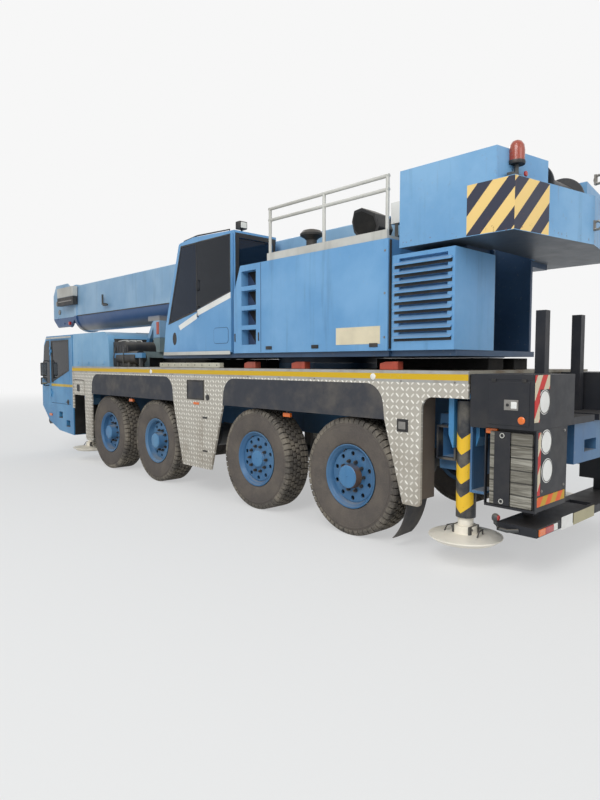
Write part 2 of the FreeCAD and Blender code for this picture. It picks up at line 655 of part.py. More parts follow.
def driver_cab():
    """The low driver's cab ahead of the frame: one shell, two doors, glass, seats and dashboard."""
    rear = S.cab_rear
    floor = 1000
    wall = S.cab_wall
    outer = side_plate("cab_outer", [
        (rear, 445), (rear + 730, 490, 40), (rear + 1275, 665, 40), (rear + 1660, 980, 30),
        (rear + 1660, 1475), (rear + 1515, 2320, 60), (rear + 1380, 2500, 60), (rear, 2500)],
        -S.cab_side, S.cab_side)
    inner = side_plate("cab_inner", [
        (rear + wall, floor + wall), (rear + 1660 - wall, floor + wall), (rear + 1660 - wall, 1475),
        (rear + 1515 - wall, 2310), (rear + 1365 - wall / 2, 2500 - wall), (rear + wall, 2500 - wall)],
        -S.cab_side + wall, S.cab_side - wall)
    tunnel = block("cab_tunnel", (rear - 10, S.frame_front + 20), (-S.frame_side - 30, S.frame_side + 30),
                   (400, S.frame_bottom + S.seat))
    windscreen = block("windscreen_opening", (rear + 1400, rear + 1700), (-1130, 1130), (1560, 2290))
    rear_window = block("cab_rear_opening", (rear - 10, rear + wall + 10), (-700, 700), (1950, 2380))
    door_low, door_high = rear + 145, rear + 1145
    door_z = (floor + 60, 2420)
    openings = [block(f"door_opening_{side}", (door_low, door_high),
                      (S.cab_side - wall - 10, S.cab_side + 10) if sign > 0
                      else (-S.cab_side - 10, wall + 10 - S.cab_side), door_z) for side, sign in SIDES]
    steps = [block(f"cab_step_{side}_{level}", (x, x + 190),
                   (S.cab_side - 160, S.cab_side + 10) if sign > 0 else (-S.cab_side - 10, 160 - S.cab_side),
                   (level, level + 130))
             for side, sign in SIDES for x, level in ((rear + 560, 760), (rear + 180, 600))]
    shell = cut("cab_shell", outer, inner, tunnel, windscreen, rear_window, *openings, *steps)
    hinges = []
    for level in (1250 - 60 - S.seat, 1250 + 60 + S.seat, 2150 - 60 - S.seat, 2150 + 60 + S.seat):
        count = len(hinges)
        pair = [rod(f"cab_knuckle_{count}", "Z", (door_high - S.door_gap / 2, S.cab_side + 11, level), 11, 60),
                block(f"cab_leaf_{count}", (door_high - S.door_gap / 2, door_high + 50),
                      (S.cab_side - 2, S.cab_side + 11), (level, level + 60))]
        hinges += pair + [mirror(f"cab_hinge_{count}_{index}", piece) for index, piece in enumerate(pair)]
    node("driver_cab", fuse("driver_cab", [shell] + hinges))

    gap = S.door_gap
    hinge_x = door_high - gap / 2
    hinge_y = S.cab_side + 11
    for side, sign in SIDES:
        plate = block(f"cab_door_{side}_plate", (door_low + gap, door_high - gap),
                      (S.cab_side - wall, S.cab_side), (door_z[0] + gap, door_z[1] - gap))
        window = side_plate(f"cab_door_{side}_window", [
            (door_low + 70, 1780, 30), (door_high - 130, 1560, 30), (door_high - 60, 2370, 30),
            (door_low + 70, 2370, 30)], S.cab_side - wall - 10, S.cab_side + 10)
        leaves = []
        for level in (1250, 2150):
            leaves.append(rod(f"door_knuckle_{side}_{level}", "Z", (hinge_x, hinge_y, level), 11, 60))
            leaves.append(block(f"door_leaf_{side}_{level}", (hinge_x - 60, hinge_x), (S.cab_side - 2, hinge_y),
                                (level, level + 60)))
        door = fuse(f"cab_door_{side}_hinged", [cut(f"cab_door_{side}", plate, window)] + leaves)
        node(f"driver_door_{side}", door if sign > 0 else mirror(f"cab_door_{side}_mirror", door))

    slope = (1515 - 1660) / (2320 - 1475)
    low_x = rear + 1660 + slope * (1560 - 1475) - 20
    high_x = rear + 1660 + slope * (2290 - 1475) - 20
    panes = [side_plate("windscreen", [(low_x - S.glass, 1560), (low_x, 1560), (high_x, 2290),
                                       (high_x - S.glass, 2290)], -1130, 1130),
             block("cab_rear_pane", (rear + 20, rear + 20 + S.glass), (-700, 700), (1950, 2380))]
    node("driver_cab_glass", group("driver_cab_glass", panes))

    seats = [seat(f"driver_seat_{side}", rear + 160, 620 * sign, floor + wall) for side, sign in SIDES]
    dash = side_plate("dashboard", [
        (rear + 1560, floor + wall), (rear + 1300, 1250), (rear + 1250, 1480), (rear + 1350, 1540),
        (rear + 1610, 1500), (rear + 1610, floor + wall)], -1150, 1150)
    column = rod("steering_column", "Z", (rear + 1230, 620, 1300), 30, 180)
    wheel = rod("steering_wheel", "Z", (rear + 1230, 620, 1480), 220, 30, 190)
    hub = block("steering_spoke", (rear + 1210, rear + 1250), (425, 815), (1485, 1505))
    arm = block("column_arm", (rear + 1230, rear + 1330), (590, 650), (1320, 1360))
    node("driver_cab_interior", group("driver_cab_interior", seats + [
        fuse("dash_group", [dash, column, wheel, hub, arm])]))


def seat(name, x, y, z):
    """A driver's seat: pedestal, cushion and backrest, facing +X."""
    shape = side_plate(name, [
        (x + 150, z), (x + 450, z), (x + 450, z + 250), (x + 560, z + 270, 30), (x + 560, z + 400, 30),
        (x + 170, z + 370), (x + 110, z + 980, 40), (x, z + 980, 40), (x + 40, z + 250), (x + 150, z + 250)],
        y - 240, y + 240)
    return shape


def hood_and_engine():
    """Hood behind the cab with the engine block inside, and the radiator behind it."""
    rear = S.axle_first + 115
    front = S.cab_rear - 10
    outer = side_plate("hood_outer", [(rear, S.deck_top), (front, S.deck_top), (front, HOOD_TOP),
                                      (rear + 60, HOOD_TOP, 220), (rear + 20, HOOD_TOP - 250)], -1240, 1240)
    inner = side_plate("hood_inner", [
        (rear + 65, S.deck_top - 10), (front - 45, S.deck_top - 10), (front - 45, HOOD_TOP - 45),
        (rear + 105, HOOD_TOP - 45, 175), (rear + 65, HOOD_TOP - 250)], -1195, 1195)
    node("hood", cut("hood", outer, inner))
    engine = block("engine_block", (rear + 200, front - 200), (-420, 420), (S.deck_top, HOOD_TOP - 225))
    radiator = block("radiator", (rear - 900, rear - 200), (-440, 440), (S.deck_top, HOOD_TOP - 155))
    tank = rod("air_tank", "X", (rear - 150 - 750, 1095, S.deck_top + 160), 120, 700)
    stand = block("air_tank_stand", (rear - 800, rear - 300), (1020, 1140), (S.deck_top, S.deck_top + 60))
    node("engine", group("engine_group", [engine, radiator, fuse("tank_group", [tank, stand])]))


REST_X = S.axle_first - 475
REST_FLOOR = S.deck_top + 274


def rest_leg(name, low, high):
    """Return a leg and its slanted strut between two heights: both halves of the rest share the outline."""
    def strut_x(level):
        return REST_X + 460 - (level - REST_FLOOR) * 0.65

    return [block(f"{name}_leg", (REST_X - 110, REST_X + 110), (470, 600), (low, high)),
            side_plate(f"{name}_strut", [(strut_x(low), low), (strut_x(low) + 100, low),
                                         (strut_x(high) + 100, high), (strut_x(high), high)], 500, 570)]


def boom_rest():
    """Two towers on the carrier that the boom's own legs come down on."""
    pieces = []
    for side, sign in SIDES:
        tower = fuse(f"rest_{side}_left", [
            block(f"rest_foot_{side}", (REST_X - 175, REST_X + 175), (850, 950), (S.deck_top, REST_FLOOR)),
            block(f"rest_beam_{side}", (REST_X - 60, REST_X + 575), (470, 950), (REST_FLOOR - 110, REST_FLOOR)),
            block(f"rest_plate_{side}", (REST_X - 110, REST_X + 540), (490, 580), (REST_FLOOR, REST_FLOOR + 30)),
            *rest_leg(f"rest_{side}", REST_FLOOR - 5, REST_TOP)])
        pieces.append(tower if sign > 0 else mirror(f"rest_{side}", tower))
    node("boom_rest", group("boom_rest", pieces))


def rear_body():
    """Lockers, timber racks, lamp bar and tow coupling behind the rear outrigger box."""
    front = S.deck_rear - 20
    pieces = []
    boards = []
    for side, sign in SIDES:
        pillar = block(f"rear_pillar_{side}", (front - 160, front), (560, S.deck_side - 10), (TAIL_TOP - 10, S.deck_top - 26))
        locker = block(f"rear_locker_{side}", (front - 610, front - 160), (560, S.deck_side), (TAIL_TOP, S.deck_top - 26))
        rack = block(f"timber_rack_{side}", (front - 610, front - 180), (700, S.deck_side - 60), (640, TAIL_TOP))
        slots = block(f"timber_space_{side}", (front - 600, front - 190), (820, S.deck_side), (670, 1325))
        bracket = block(f"lamp_bracket_{side}", (front - 400, front - 300), (800, 900), (500, 650))
        post = block(f"rear_post_{side}", (front - 280, front - 180), (380, 480), (TAIL_TOP, 2450))
        tie = block(f"rear_tie_{side}", (front - 610, front), (60, 580), (TAIL_TOP, TAIL_TOP + 65))
        whole = fuse(f"rear_{side}_left", [pillar, locker, cut(f"rack_open_{side}", rack, slots), bracket, post, tie])
        pieces.append(whole if sign > 0 else mirror(f"rear_{side}", whole))
        for level in range(6):
            for column in range(2):
                board = block(f"board_{side}_{level}_{column}",
                              (front - 590 + column * 200, front - 400 + column * 200),
                              (830, S.deck_side - 20),
                              (670 + level * 109 + S.seat, 670 + level * 109 + 109))
                boards.append(board if sign > 0 else mirror(f"board_{side}_{level}_{column}_mirror", board))
    bar = block("lamp_bar", (front - 623, front - 250), (75 - S.deck_side, S.deck_side - 75), (420, 500))
    tow_gap = block("tow_gap", (front - 560, front - 340), (-70, 70), (400, 520))
    node("rear_body", fuse("rear_body", pieces + [cut("lamp_bar_open", bar, tow_gap)]))
    node("timber_blocks", group("timber_blocks", boards))


# Superstructure. Everything here turns with the slewing ring.

def turntable():
    """Ring, floor plate and the two side plates that carry the boom's foot and the lift cylinder."""
    pivot_x, pivot_z = S.boom_pivot_x, S.boom_pivot_z
    side_low = S.boom_side + 50
    side_high = side_low + 45
    ring = rod("ring_upper", "Z", (S.slew_x, 0, S.ring_top + S.seat), S.ring_radius,
               S.upper_floor - S.ring_top - S.seat)
    floor = block("upper_plate", (pivot_x + 100, -1750), (-1240, 1240), (S.upper_floor, S.upper_floor + 60))
    cab_arm = block("cab_arm", (-1800, -360), (480, 1240), (S.upper_floor, S.upper_floor + 60))
    tail = block("tail_plate", (pivot_x - 680, pivot_x + 120), (-side_high, 1200),
                 (S.upper_floor, S.upper_floor + 60))
    outline = [(-1800, S.upper_floor + 40), (-1800, 2280), (pivot_x + 500, pivot_z + 190, 120),
               (pivot_x - 200, pivot_z + 190, 120), (pivot_x - 640, 3100), (pivot_x - 640, S.upper_floor + 40)]
    plates = [side_plate(f"upper_side_{side}", outline, *((side_low, side_high) if sign > 0 else
                                                          (-side_high, -side_low))) for side, sign in SIDES]
    lugs = [block(f"lift_lug_{side}", (S.lift_foot_x - 150, S.lift_foot_x + 150),
                  (135, 200) if sign > 0 else (-200, -135), (S.upper_floor + 50, S.lift_foot_z + 110))
            for side, sign in SIDES]
    lift_pin = rod("lift_foot_pin", "Y", (S.lift_foot_x, -210, S.lift_foot_z), S.lift_pin_radius, 420)
    boom_pin = rod("boom_foot_pin", "Y", (pivot_x, -side_high - 20, pivot_z), S.boom_pin_radius,
                   2 * (side_high + 20))
    weight_shelves = [block(f"weight_shelf_{side}", (pivot_x - 600, pivot_x - 100),
                            (side_high - 5, 900) if sign > 0 else (-900, 5 - side_high),
                            (S.weight_bottom - 60, S.weight_bottom)) for side, sign in SIDES]
    slot = block("lift_slot", (S.lift_foot_x - 200, -1700), (-132, 132), (S.upper_floor, S.upper_floor + 70))
    floor = cut("upper_floor", floor, slot)
    node("turntable_frame", fuse("turntable", [ring, floor, cab_arm, tail, *plates, *lugs, lift_pin,
                                               boom_pin, *weight_shelves]))


# Crane cab outline: (X, Z) of the front face's corners and the roof, and the rear wall's X.
CAB_FLOOR = S.upper_floor + 60
CAB_REAR = -2235
CAB_SIDE = [(CAB_REAR, CAB_FLOOR), (-355, CAB_FLOOR), (-425, 2530), (-835, 3745, 60), (-1225, 3786),
            (CAB_REAR, 3740)]


def crane_cab():
    wall = S.cab_wall
    inner_side = 475
    door_plane = S.upper_side - wall
    shell = side_plate("crane_cab_outer", CAB_SIDE, inner_side, door_plane - S.door_gap)
    hollow = side_plate("crane_cab_inner", [
        (CAB_REAR + wall, CAB_FLOOR + wall), (-355 - wall, CAB_FLOOR + wall), (-425 - wall, 2530),
        (-835 - wall, 3745 - wall), (-1225, 3786 - wall), (CAB_REAR + wall, 3740 - wall)],
        inner_side + wall, door_plane - S.door_gap - wall)
    front = side_plate("crane_windscreen_opening", [
        (-300, 2560), (-560, 2560), (-950, 3690), (-700, 3690)], inner_side + 60, door_plane - 70)
    roof = block("crane_roof_opening", (-1900, -1300), (inner_side + 80, door_plane - 90), (3650, 3900))
    rear = block("crane_rear_opening", (CAB_REAR - 10, CAB_REAR + wall + 10),
                 (inner_side + 70, door_plane - 80), (2950, 3650))
    outer_window = side_plate("crane_side_opening", [
        (-540, 2560), (-1330, 2720), (-1330, 3680), (-905, 3680)], door_plane - 70, door_plane + 10)
    doorway = block("crane_doorway", (-2160, -1400), (door_plane - 70, door_plane + 10), (2170, 3660))
    inner_window = side_plate("crane_inner_opening", [
        (-620, 2620), (-2120, 2620), (-2120, 3650), (-960, 3650)], inner_side - 10, inner_side + wall + 10)
    rails = [block(f"door_rail_{level}", (-2210, -560), (door_plane - S.door_gap - 1, door_plane + 40),
                   (level, level + 22)) for level in (2080,)]
    node("crane_cab", fuse("crane_cab", [cut("crane_shell", shell, hollow, front, roof, rear, outer_window,
                                             doorway, inner_window)] + rails))

    door_low, door_high = CAB_REAR + 20, -1385
    plate = block("crane_door_plate", (door_low, door_high), (door_plane, S.upper_side), (2102 + S.seat, 3700))
    window = side_plate("crane_door_window", [
        (door_high - 50, 2740), (door_low + 50, 2925), (door_low + 50, 3650, 30), (door_high - 50, 3650, 30)],
        door_plane - 10, S.upper_side + 10)
    node("crane_cab_door", cut("crane_door", plate, window))

    glass = S.glass
    inset = 20
    lean = (-835 + 425) / (3745 - 2530)
    low_x = -425 + lean * (2560 - 2530) - inset
    high_x = -425 + lean * (3690 - 2530) - inset
    panes = [
        side_plate("crane_windscreen", [(low_x, 2560), (low_x - glass, 2560), (high_x - glass, 3690),
                                        (high_x, 3690)], inner_side + 60, door_plane - 70),
        block("crane_roof_pane", (-1900, -1300), (inner_side + 80, door_plane - 90), (3722, 3722 + glass)),
        block("crane_rear_pane", (CAB_REAR + inset, CAB_REAR + inset + glass),
              (inner_side + 70, door_plane - 80), (2950, 3650)),
        side_plate("crane_side_pane", [(-540, 2560), (-1330, 2720), (-1330, 3680), (-905, 3680)],
                   door_plane - S.door_gap - 20 - glass, door_plane - S.door_gap - 20),
        side_plate("crane_inner_pane", [(-620, 2620), (-2120, 2620), (-2120, 3650), (-960, 3650)],
                   inner_side + inset, inner_side + inset + glass)]
    node("crane_cab_glass", group("crane_cab_glass", panes))
    node("crane_cab_seat", seat("crane_seat", -1800, 860, CAB_FLOOR + wall))


def power_housing():
    """Left housing with its square recessed vents and louvre box, and the right engine housing."""
    low = 2060
    rear = -4925
    body = side_plate("left_housing", [(rear, low), (-2280, low), (-2280, 2860), (-2425, 3224), (rear, 3224)],
                      500, S.upper_side)
    vents = [block(f"vent_{row}", (-2757, -2450), (S.upper_side - 120, S.upper_side + 10),
                   (2170 + row * 258, 2370 + row * 258)) for row in range(4)]
    louvre_box = block("louvre_box", (rear - 780, rear - 40), (500, 1250), (low, 3040))
    slots = []
    for row in range(9):
        slots.append(side_slot(f"louvre_{row}", rear - 700, rear - 120, 2200 + row * 92))
    right = block("right_housing", (rear, -2300), (-1250, -500), (low, 3100))
    node("power_housing", group("power_housing", [
        fuse("left_housing_whole", [cut("left_vented", body, *vents), cut("louvred", louvre_box, *slots),
                                    block("housing_joint", (rear - 60, rear + 10), (500, 1230), (low, 3040))]),
        right]))


def side_slot(name, rear, front, level):
    """A downward-facing louvre slot in the side wall of the rear box."""
    slot = cross_plate(name, [(1255, level), (1200, level + 55), (1200, level + 62), (1255, level + 62)], rear, front)
    return slot


def guard_rail():
    """Walkway plate on the left housing with its handrail."""
    plate = block("walkway", (-4895, -2965), (505, 1265), (3224, 3264))
    kerb = block("walkway_kerb", (-4895, -2965), (1245, 1265), (3264, 3320))
    posts = [rod(f"rail_post_{number}", "Z", (x, 1235, 3260), S.rail_tube, 625)
             for number, x in enumerate((-2995, -3950, -4875))]
    bars = [rod(f"rail_bar_{level}", "X", (-4895, 1235, level), S.rail_tube, 1920) for level in (3735, 3875)]
    node("guard_rail", fuse("guard_rail", [plate, kerb] + posts + bars))


def counterweight():
    """Two stacked slabs with a swept tail, notched for the boom's foot and the hoist."""
    front = S.boom_pivot_x - 30
    tail = S.slew_x - 3595
    notch = tail + 810
    lower = flat_plate("weight_lower", [
        (front, -S.weight_side), (tail + 211, 20 - S.weight_side), (tail, 0), (tail + 211, S.weight_side - 20),
        (front, S.weight_side)], S.weight_bottom, S.weight_step)
    upper = flat_plate("weight_upper", [
        (front, -S.weight_side), (tail + 390, 20 - S.weight_side), (tail + 190, 0),
        (tail + 390, S.weight_side - 20),
        (front, S.weight_side)], S.weight_step, S.weight_top)
    boom_notch = block("boom_notch", (notch, front + 10), (-470, 470),
                       (S.weight_bottom - 100, S.weight_top + 100))
    hoist_notch = block("hoist_notch", (tail + 160, notch + 10), (-470, 470),
                        (S.weight_bottom + 275, S.weight_top + 100))
    node("counterweight", cut("counterweight", fuse("weight_whole", [lower, upper]), boom_notch, hoist_notch))


def hoist_winch():
    x = S.slew_x - 3095
    z = S.weight_bottom + 575
    drum = turned("hoist_drum", [(0, -380), (250, -380), (250, -355), (170, -355), (170, 355), (250, 355),
                                 (250, 380), (0, 380)], x, 0, z)
    cheeks = [block(f"hoist_cheek_{side}", (x - 130, x + 130), (385, 430) if sign > 0 else (-430, -385),
                    (z - 300, z + 120)) for side, sign in SIDES]
    shaft = rod("hoist_shaft", "Y", (x, -400, z), 40, 800)
    node("hoist_winch", fuse("hoist", [drum, shaft] + cheeks))


# Boom: nested sections, flat-sided above and rounded below.

def boom_outline(inset):
    """Return the (Y, Z) outline of the boom, this far inside the base section's outside."""
    half = S.boom_side - inset
    top = S.boom_top - inset
    low = S.boom_flat - S.boom_side + inset
    return [(half, low, half - 1), (half, top, 20), (-half, top, 20), (-half, low, half - 1)]


def boom_shell(name, inset, low, high):
    return cut(name, cross_plate(f"{name}_outer", boom_outline(inset), low, high),
               cross_plate(f"{name}_inner", boom_outline(inset + S.section_wall), low - 10, high + 10))


def boom_base():
    pivot_x, pivot_z = S.boom_pivot_x, S.boom_pivot_z
    shell = boom_shell("base_shell", 0, S.boom_rear, S.boom_front)
    feet = [side_plate(f"boom_foot_{side}", [
        (S.boom_rear + 400, S.boom_top - 30), (pivot_x - 60, pivot_z + 150, 100), (pivot_x - 150, pivot_z - 60, 60),
        (S.boom_rear + 400, S.boom_flat - 20)],
        *((S.boom_side - 60, S.boom_side) if sign > 0 else (-S.boom_side, 60 - S.boom_side)))
        for side, sign in SIDES]
    collar = cut("boom_collar", cross_plate("collar_outer", boom_outline(-25), S.boom_front - 120, S.boom_front),
                 cross_plate("collar_inner", boom_outline(5), S.boom_front - 130, S.boom_front + 10))
    lugs = [side_plate(f"lift_head_lug_{side}", [
        (S.lift_head_x - 260, BOOM_LOW + 120), (S.lift_head_x - 80, LIFT_HEAD_Z - 100, 50),
        (S.lift_head_x + 80, LIFT_HEAD_Z - 100, 50), (S.lift_head_x + 180, BOOM_LOW + 120)],
        *((130, 175) if sign > 0 else (-175, -130))) for side, sign in SIDES]
    hole = rod("boom_foot_hole", "Y", (pivot_x, -500, pivot_z), S.boom_pin_radius + S.run, 1000)
    eye = rod("lift_lug_bore", "Y", (S.lift_head_x, -200, LIFT_HEAD_Z), S.lift_pin_radius + S.run, 400)
    legs = []
    for side, sign in SIDES:
        leg = fuse(f"boom_leg_{side}_left", [
            block(f"boom_leg_arm_{side}", (REST_X - 110, REST_X + 300), (200, 600), (BOOM_LOW + 20, BOOM_LOW + 110)),
            *rest_leg(f"boom_leg_{side}", REST_TOP + 6, BOOM_LOW + 25)])
        legs.append(leg if sign > 0 else mirror(f"boom_leg_{side}", leg))
    reel = block("head_box", (S.boom_front - 200, S.boom_front + 700), (S.boom_side + 24, S.boom_side + 130),
                 (S.boom_flat + 270, S.boom_top - 30))
    whole = fuse("boom_base_whole", [shell, collar, reel] + feet + lugs + legs)
    inner = cross_plate("base_bore", boom_outline(S.section_wall), S.boom_rear + 1, S.boom_front + 10)
    node("boom_base", cut("boom_base", whole, inner, hole, eye))


def boom_sections():
    """Three sections inside the base; the last carries the head with its sheaves."""
    step = S.section_wall + S.section_gap
    for number in (1, 2, 3):
        low = S.boom_rear + 100 + number * 60
        high = S.boom_front + number * 70
        half = S.boom_side - step * number
        pads = [block(f"wear_pad_{number}_{side}", (low + 60, low + 360),
                      (half - 5, half + S.section_gap - S.seat) if sign > 0
                      else (S.seat - half - S.section_gap, 5 - half), (BOOM_MIDDLE - 70, BOOM_MIDDLE + 70)) for side, sign in SIDES]
        shell = fuse(f"section_{number}_padded", [boom_shell(f"section_{number}_shell", step * number, low, high),
                                                  *pads])
        if number < 3:
            node(f"boom_section_{number}", shell)
            continue
        top, low_edge = S.boom_top, S.boom_flat
        cheek = (half + S.seat, half + 25)
        cheeks = [side_plate(f"head_cheek_{side}", [
            (S.boom_front + 150, top - 130), (S.nose_x - 885, top + 120, 40), (S.nose_x - 185, top + 120, 60),
            (S.nose_x, top - 130, 60), (S.nose_x, low_edge - 30, 80), (S.nose_x - 285, low_edge - 230, 60),
            (S.nose_x - 985, low_edge - 230, 40), (S.boom_front + 150, low_edge - 30)],
            *(cheek if sign > 0 else (-cheek[1], -cheek[0]))) for side, sign in SIDES]
        rows = [(S.nose_x - 255, top - 110), (S.nose_x - 255, low_edge + 10)]
        sheaves = [turned(f"sheave_{row}", [(0, -70), (210, -70), (180, 0), (210, 70), (0, 70)], x, 0, z)
                   for row, (x, z) in enumerate(rows)]
        pins = [rod(f"sheave_pin_{row}", "Y", (x, -half - 30, z), 40, 2 * (half + 30))
                for row, (x, z) in enumerate(rows)]
        brace = block("head_brace", (S.nose_x - 935, S.nose_x - 835), (-half - 5, half + 5),
                      (low_edge - 130, top - 30))
        jib_bores = [rod(f"jib_bore_{row}", "Y", (S.nose_x - 685, -400, z), 30, 800)
                     for row, z in enumerate((top + 20, low_edge - 140))]
        head = cut("boom_head", fuse("boom_head_whole", cheeks + sheaves + pins + [brace]), *jib_bores)
        node("boom_section_3", group("boom_section_3", [shell, head]))


def lift_cylinder():
    """Lift cylinder along the line from its foot pin to the pin under the boom."""
    dx = S.lift_head_x - S.lift_foot_x
    dz = LIFT_HEAD_Z - S.lift_foot_z
    reach = math.hypot(number_of(dx), number_of(dz))
    tilt = math.degrees(math.atan2(number_of(dz), number_of(dx)))
    turn = Rotation(Vector(0, 1, 0), 90 - tilt)
    foot = (S.lift_foot_x, 0, S.lift_foot_z)

    def along(name, start, radius, length):
        solid = doc.addObject("Part::Cylinder", name)
        bind(solid, "Radius", radius)
        bind(solid, "Height", length)
        offset = turn.multVec(Vector(0, 0, start))
        solid.Placement = Placement(Vector(), turn)
        return put(solid, S.lift_foot_x + offset.x, 0, S.lift_foot_z + offset.z)

    barrel = along("lift_tube", 60, S.lift_radius, reach - 260 - 60)
    bore = along("lift_bore", 180, S.lift_rod_radius + S.run, reach)
    eye = rod("lift_foot_eye", "Y", (foot[0], -120, foot[2]), 105, 240)
    hole = rod("lift_foot_hole", "Y", (foot[0], -130, foot[2]), S.lift_pin_radius + S.run, 260)
    node("lift_cylinder_barrel", cut("lift_barrel", fuse("lift_barrel_whole", [barrel, eye]), bore, hole))
    head_eye = rod("lift_head_eye", "Y", (S.lift_head_x, -90, LIFT_HEAD_Z), 75, 180)
    pin = rod("lift_head_pin", "Y", (S.lift_head_x, -125, LIFT_HEAD_Z), S.lift_pin_radius, 250)
    shaft = along("lift_shaft", 200, S.lift_rod_radius, reach - 200)
    node("lift_cylinder_rod", fuse("lift_rod", [shaft, head_eye, pin]))


def write_parts():
    """Check every object, then write each sub-part to its own file."""
    doc.recompute()
    for thing in doc.Objects:
        bad = [word for word in ("Invalid", "Error") if word in thing.State]
        if bad:
            raise RuntimeError(f"{thing.Name}: {bad}")
    for thing in NODES:
        if thing.Shape.isNull() or not thing.Shape.isValid() or not thing.Shape.Solids:
            raise RuntimeError(f"{thing.Label} has no valid solid")
    os.makedirs(PARTS_FOLDER, exist_ok=True)
    for thing in NODES:
        thing.Shape.exportStep(f"{PARTS_FOLDER}/{thing.Label}.step")
        print(thing.Label, len(thing.Shape.Solids), round(thing.Shape.Volume / 1e9, 4))


chassis_frame()
axle_beams()
knuckles()
wheels()
outriggers()
deck()
fenders()
side_panels()
driver_cab()
hood_and_engine()
boom_rest()
rear_body()
turntable()
crane_cab()
power_housing()
guard_rail()
counterweight()
hoist_winch()
boom_base()
boom_sections()
lift_cylinder()
write_parts()
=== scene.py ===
"""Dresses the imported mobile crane: finishes, tyres, wheels, lamps and trim, with camera and light.

Metres. +X is forward, +Y the crane's left, +Z up, the ground is Z = 0. Every new piece is built
in the frame's own coordinates and rides on a body of the frame.
"""

from __future__ import annotations

import logging
import math
from dataclasses import dataclass, field
from enum import Enum
from typing import Any, Sequence

import bmesh
import bpy
import numpy as np
from mathutils import Matrix, Vector


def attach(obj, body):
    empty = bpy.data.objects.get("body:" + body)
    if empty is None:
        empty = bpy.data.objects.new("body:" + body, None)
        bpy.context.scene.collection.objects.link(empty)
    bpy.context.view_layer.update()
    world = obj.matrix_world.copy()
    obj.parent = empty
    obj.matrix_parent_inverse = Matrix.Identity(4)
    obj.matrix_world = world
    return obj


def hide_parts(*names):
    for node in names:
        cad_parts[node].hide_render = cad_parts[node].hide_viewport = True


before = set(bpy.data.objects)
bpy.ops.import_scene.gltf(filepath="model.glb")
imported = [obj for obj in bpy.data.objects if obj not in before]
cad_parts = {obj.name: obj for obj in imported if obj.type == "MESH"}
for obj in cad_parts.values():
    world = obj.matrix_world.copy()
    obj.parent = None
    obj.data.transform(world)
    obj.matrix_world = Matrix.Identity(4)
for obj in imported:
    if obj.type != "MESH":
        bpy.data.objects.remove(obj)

LOG = logging.getLogger("crane")
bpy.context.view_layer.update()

Colour = tuple[float, float, float]
SIDES = (("left", 1.0), ("right", -1.0))
CORE = 0.0006  # Radius at which a turned shape stops short of its axis.
DECK_TOP = 1.857
HOUSING_TOP = 3.264
VENT_PITCH = 0.258
SLAT_PITCH = 0.093
AXLE_X = (1.435, -0.223, -2.777, -4.435)


def shade(red: int, green: int, blue: int) -> Colour:
    """Return a screen colour (0 to 255 a channel) as the linear light that shaders use.

    Args:
        red: Red, 0 to 255.
        green: Green, 0 to 255.
        blue: Blue, 0 to 255.

    Returns:
        The three linear values.
    """
    levels = [channel / 255.0 for channel in (red, green, blue)]
    return tuple(v / 12.92 if v <= 0.04045 else ((v + 0.055) / 1.055) ** 2.4 for v in levels)


class Wire:
    """A shader socket with arithmetic: each operator adds the Math node that works it out."""

    def __init__(self, graph: "Graph", socket: bpy.types.NodeSocket) -> None:
        """Keep the graph and the socket."""
        self.graph = graph
        self.socket = socket

    def math(self, operation: str, *others: "Wire | float") -> "Wire":
        """Return this value combined with others by a Math node.

        Args:
            operation: The Math node's operation.
            others: Its other inputs, in order.

        Returns:
            The node's output.
        """
        inputs = dict(enumerate((self, *others)))
        return self.graph.node("ShaderNodeMath", {"operation": operation}, inputs)

    def __add__(self, other: "Wire | float") -> "Wire":
        """Return self + other."""
        return self.math("ADD", other)

    def __radd__(self, other: float) -> "Wire":
        """Return other + self."""
        return self.math("ADD", other)

    def __sub__(self, other: "Wire | float") -> "Wire":
        """Return self - other."""
        return self.math("SUBTRACT", other)

    def __rsub__(self, other: float) -> "Wire":
        """Return other - self."""
        return self.graph.node("ShaderNodeMath", {"operation": "SUBTRACT"}, {0: other, 1: self})

    def __mul__(self, other: "Wire | float") -> "Wire":
        """Return self * other."""
        return self.math("MULTIPLY", other)

    def __rmul__(self, other: float) -> "Wire":
        """Return other * self."""
        return self.math("MULTIPLY", other)

    def __truediv__(self, other: "Wire | float") -> "Wire":
        """Return self / other."""
        return self.math("DIVIDE", other)

    def __abs__(self) -> "Wire":
        """Return the size without its sign."""
        return self.math("ABSOLUTE")

    def above(self, level: "Wire | float") -> "Wire":
        """Return 1 where this is above the level, else 0."""
        return self.math("GREATER_THAN", level)

    def below(self, level: "Wire | float") -> "Wire":
        """Return 1 where this is below the level, else 0."""
        return self.math("LESS_THAN", level)

    def between(self, low: float, high: float) -> "Wire":
        """Return 1 where this lies between two levels, else 0."""
        return self.above(low) * self.below(high)

    def ramp(self, low: float, high: float) -> "Wire":
        """Return 0 at low rising smoothly to 1 at high, held outside them."""
        return self.graph.node("ShaderNodeMapRange", {"interpolation_type": "SMOOTHSTEP"},
                               {0: self, 1: low, 2: high, 3: 0.0, 4: 1.0})

    def wave(self, period: float) -> "Wire":
        """Return a triangle wave from 0 to 1 and back over each period."""
        return abs((self / period).math("FRACT") * 2.0 - 1.0)


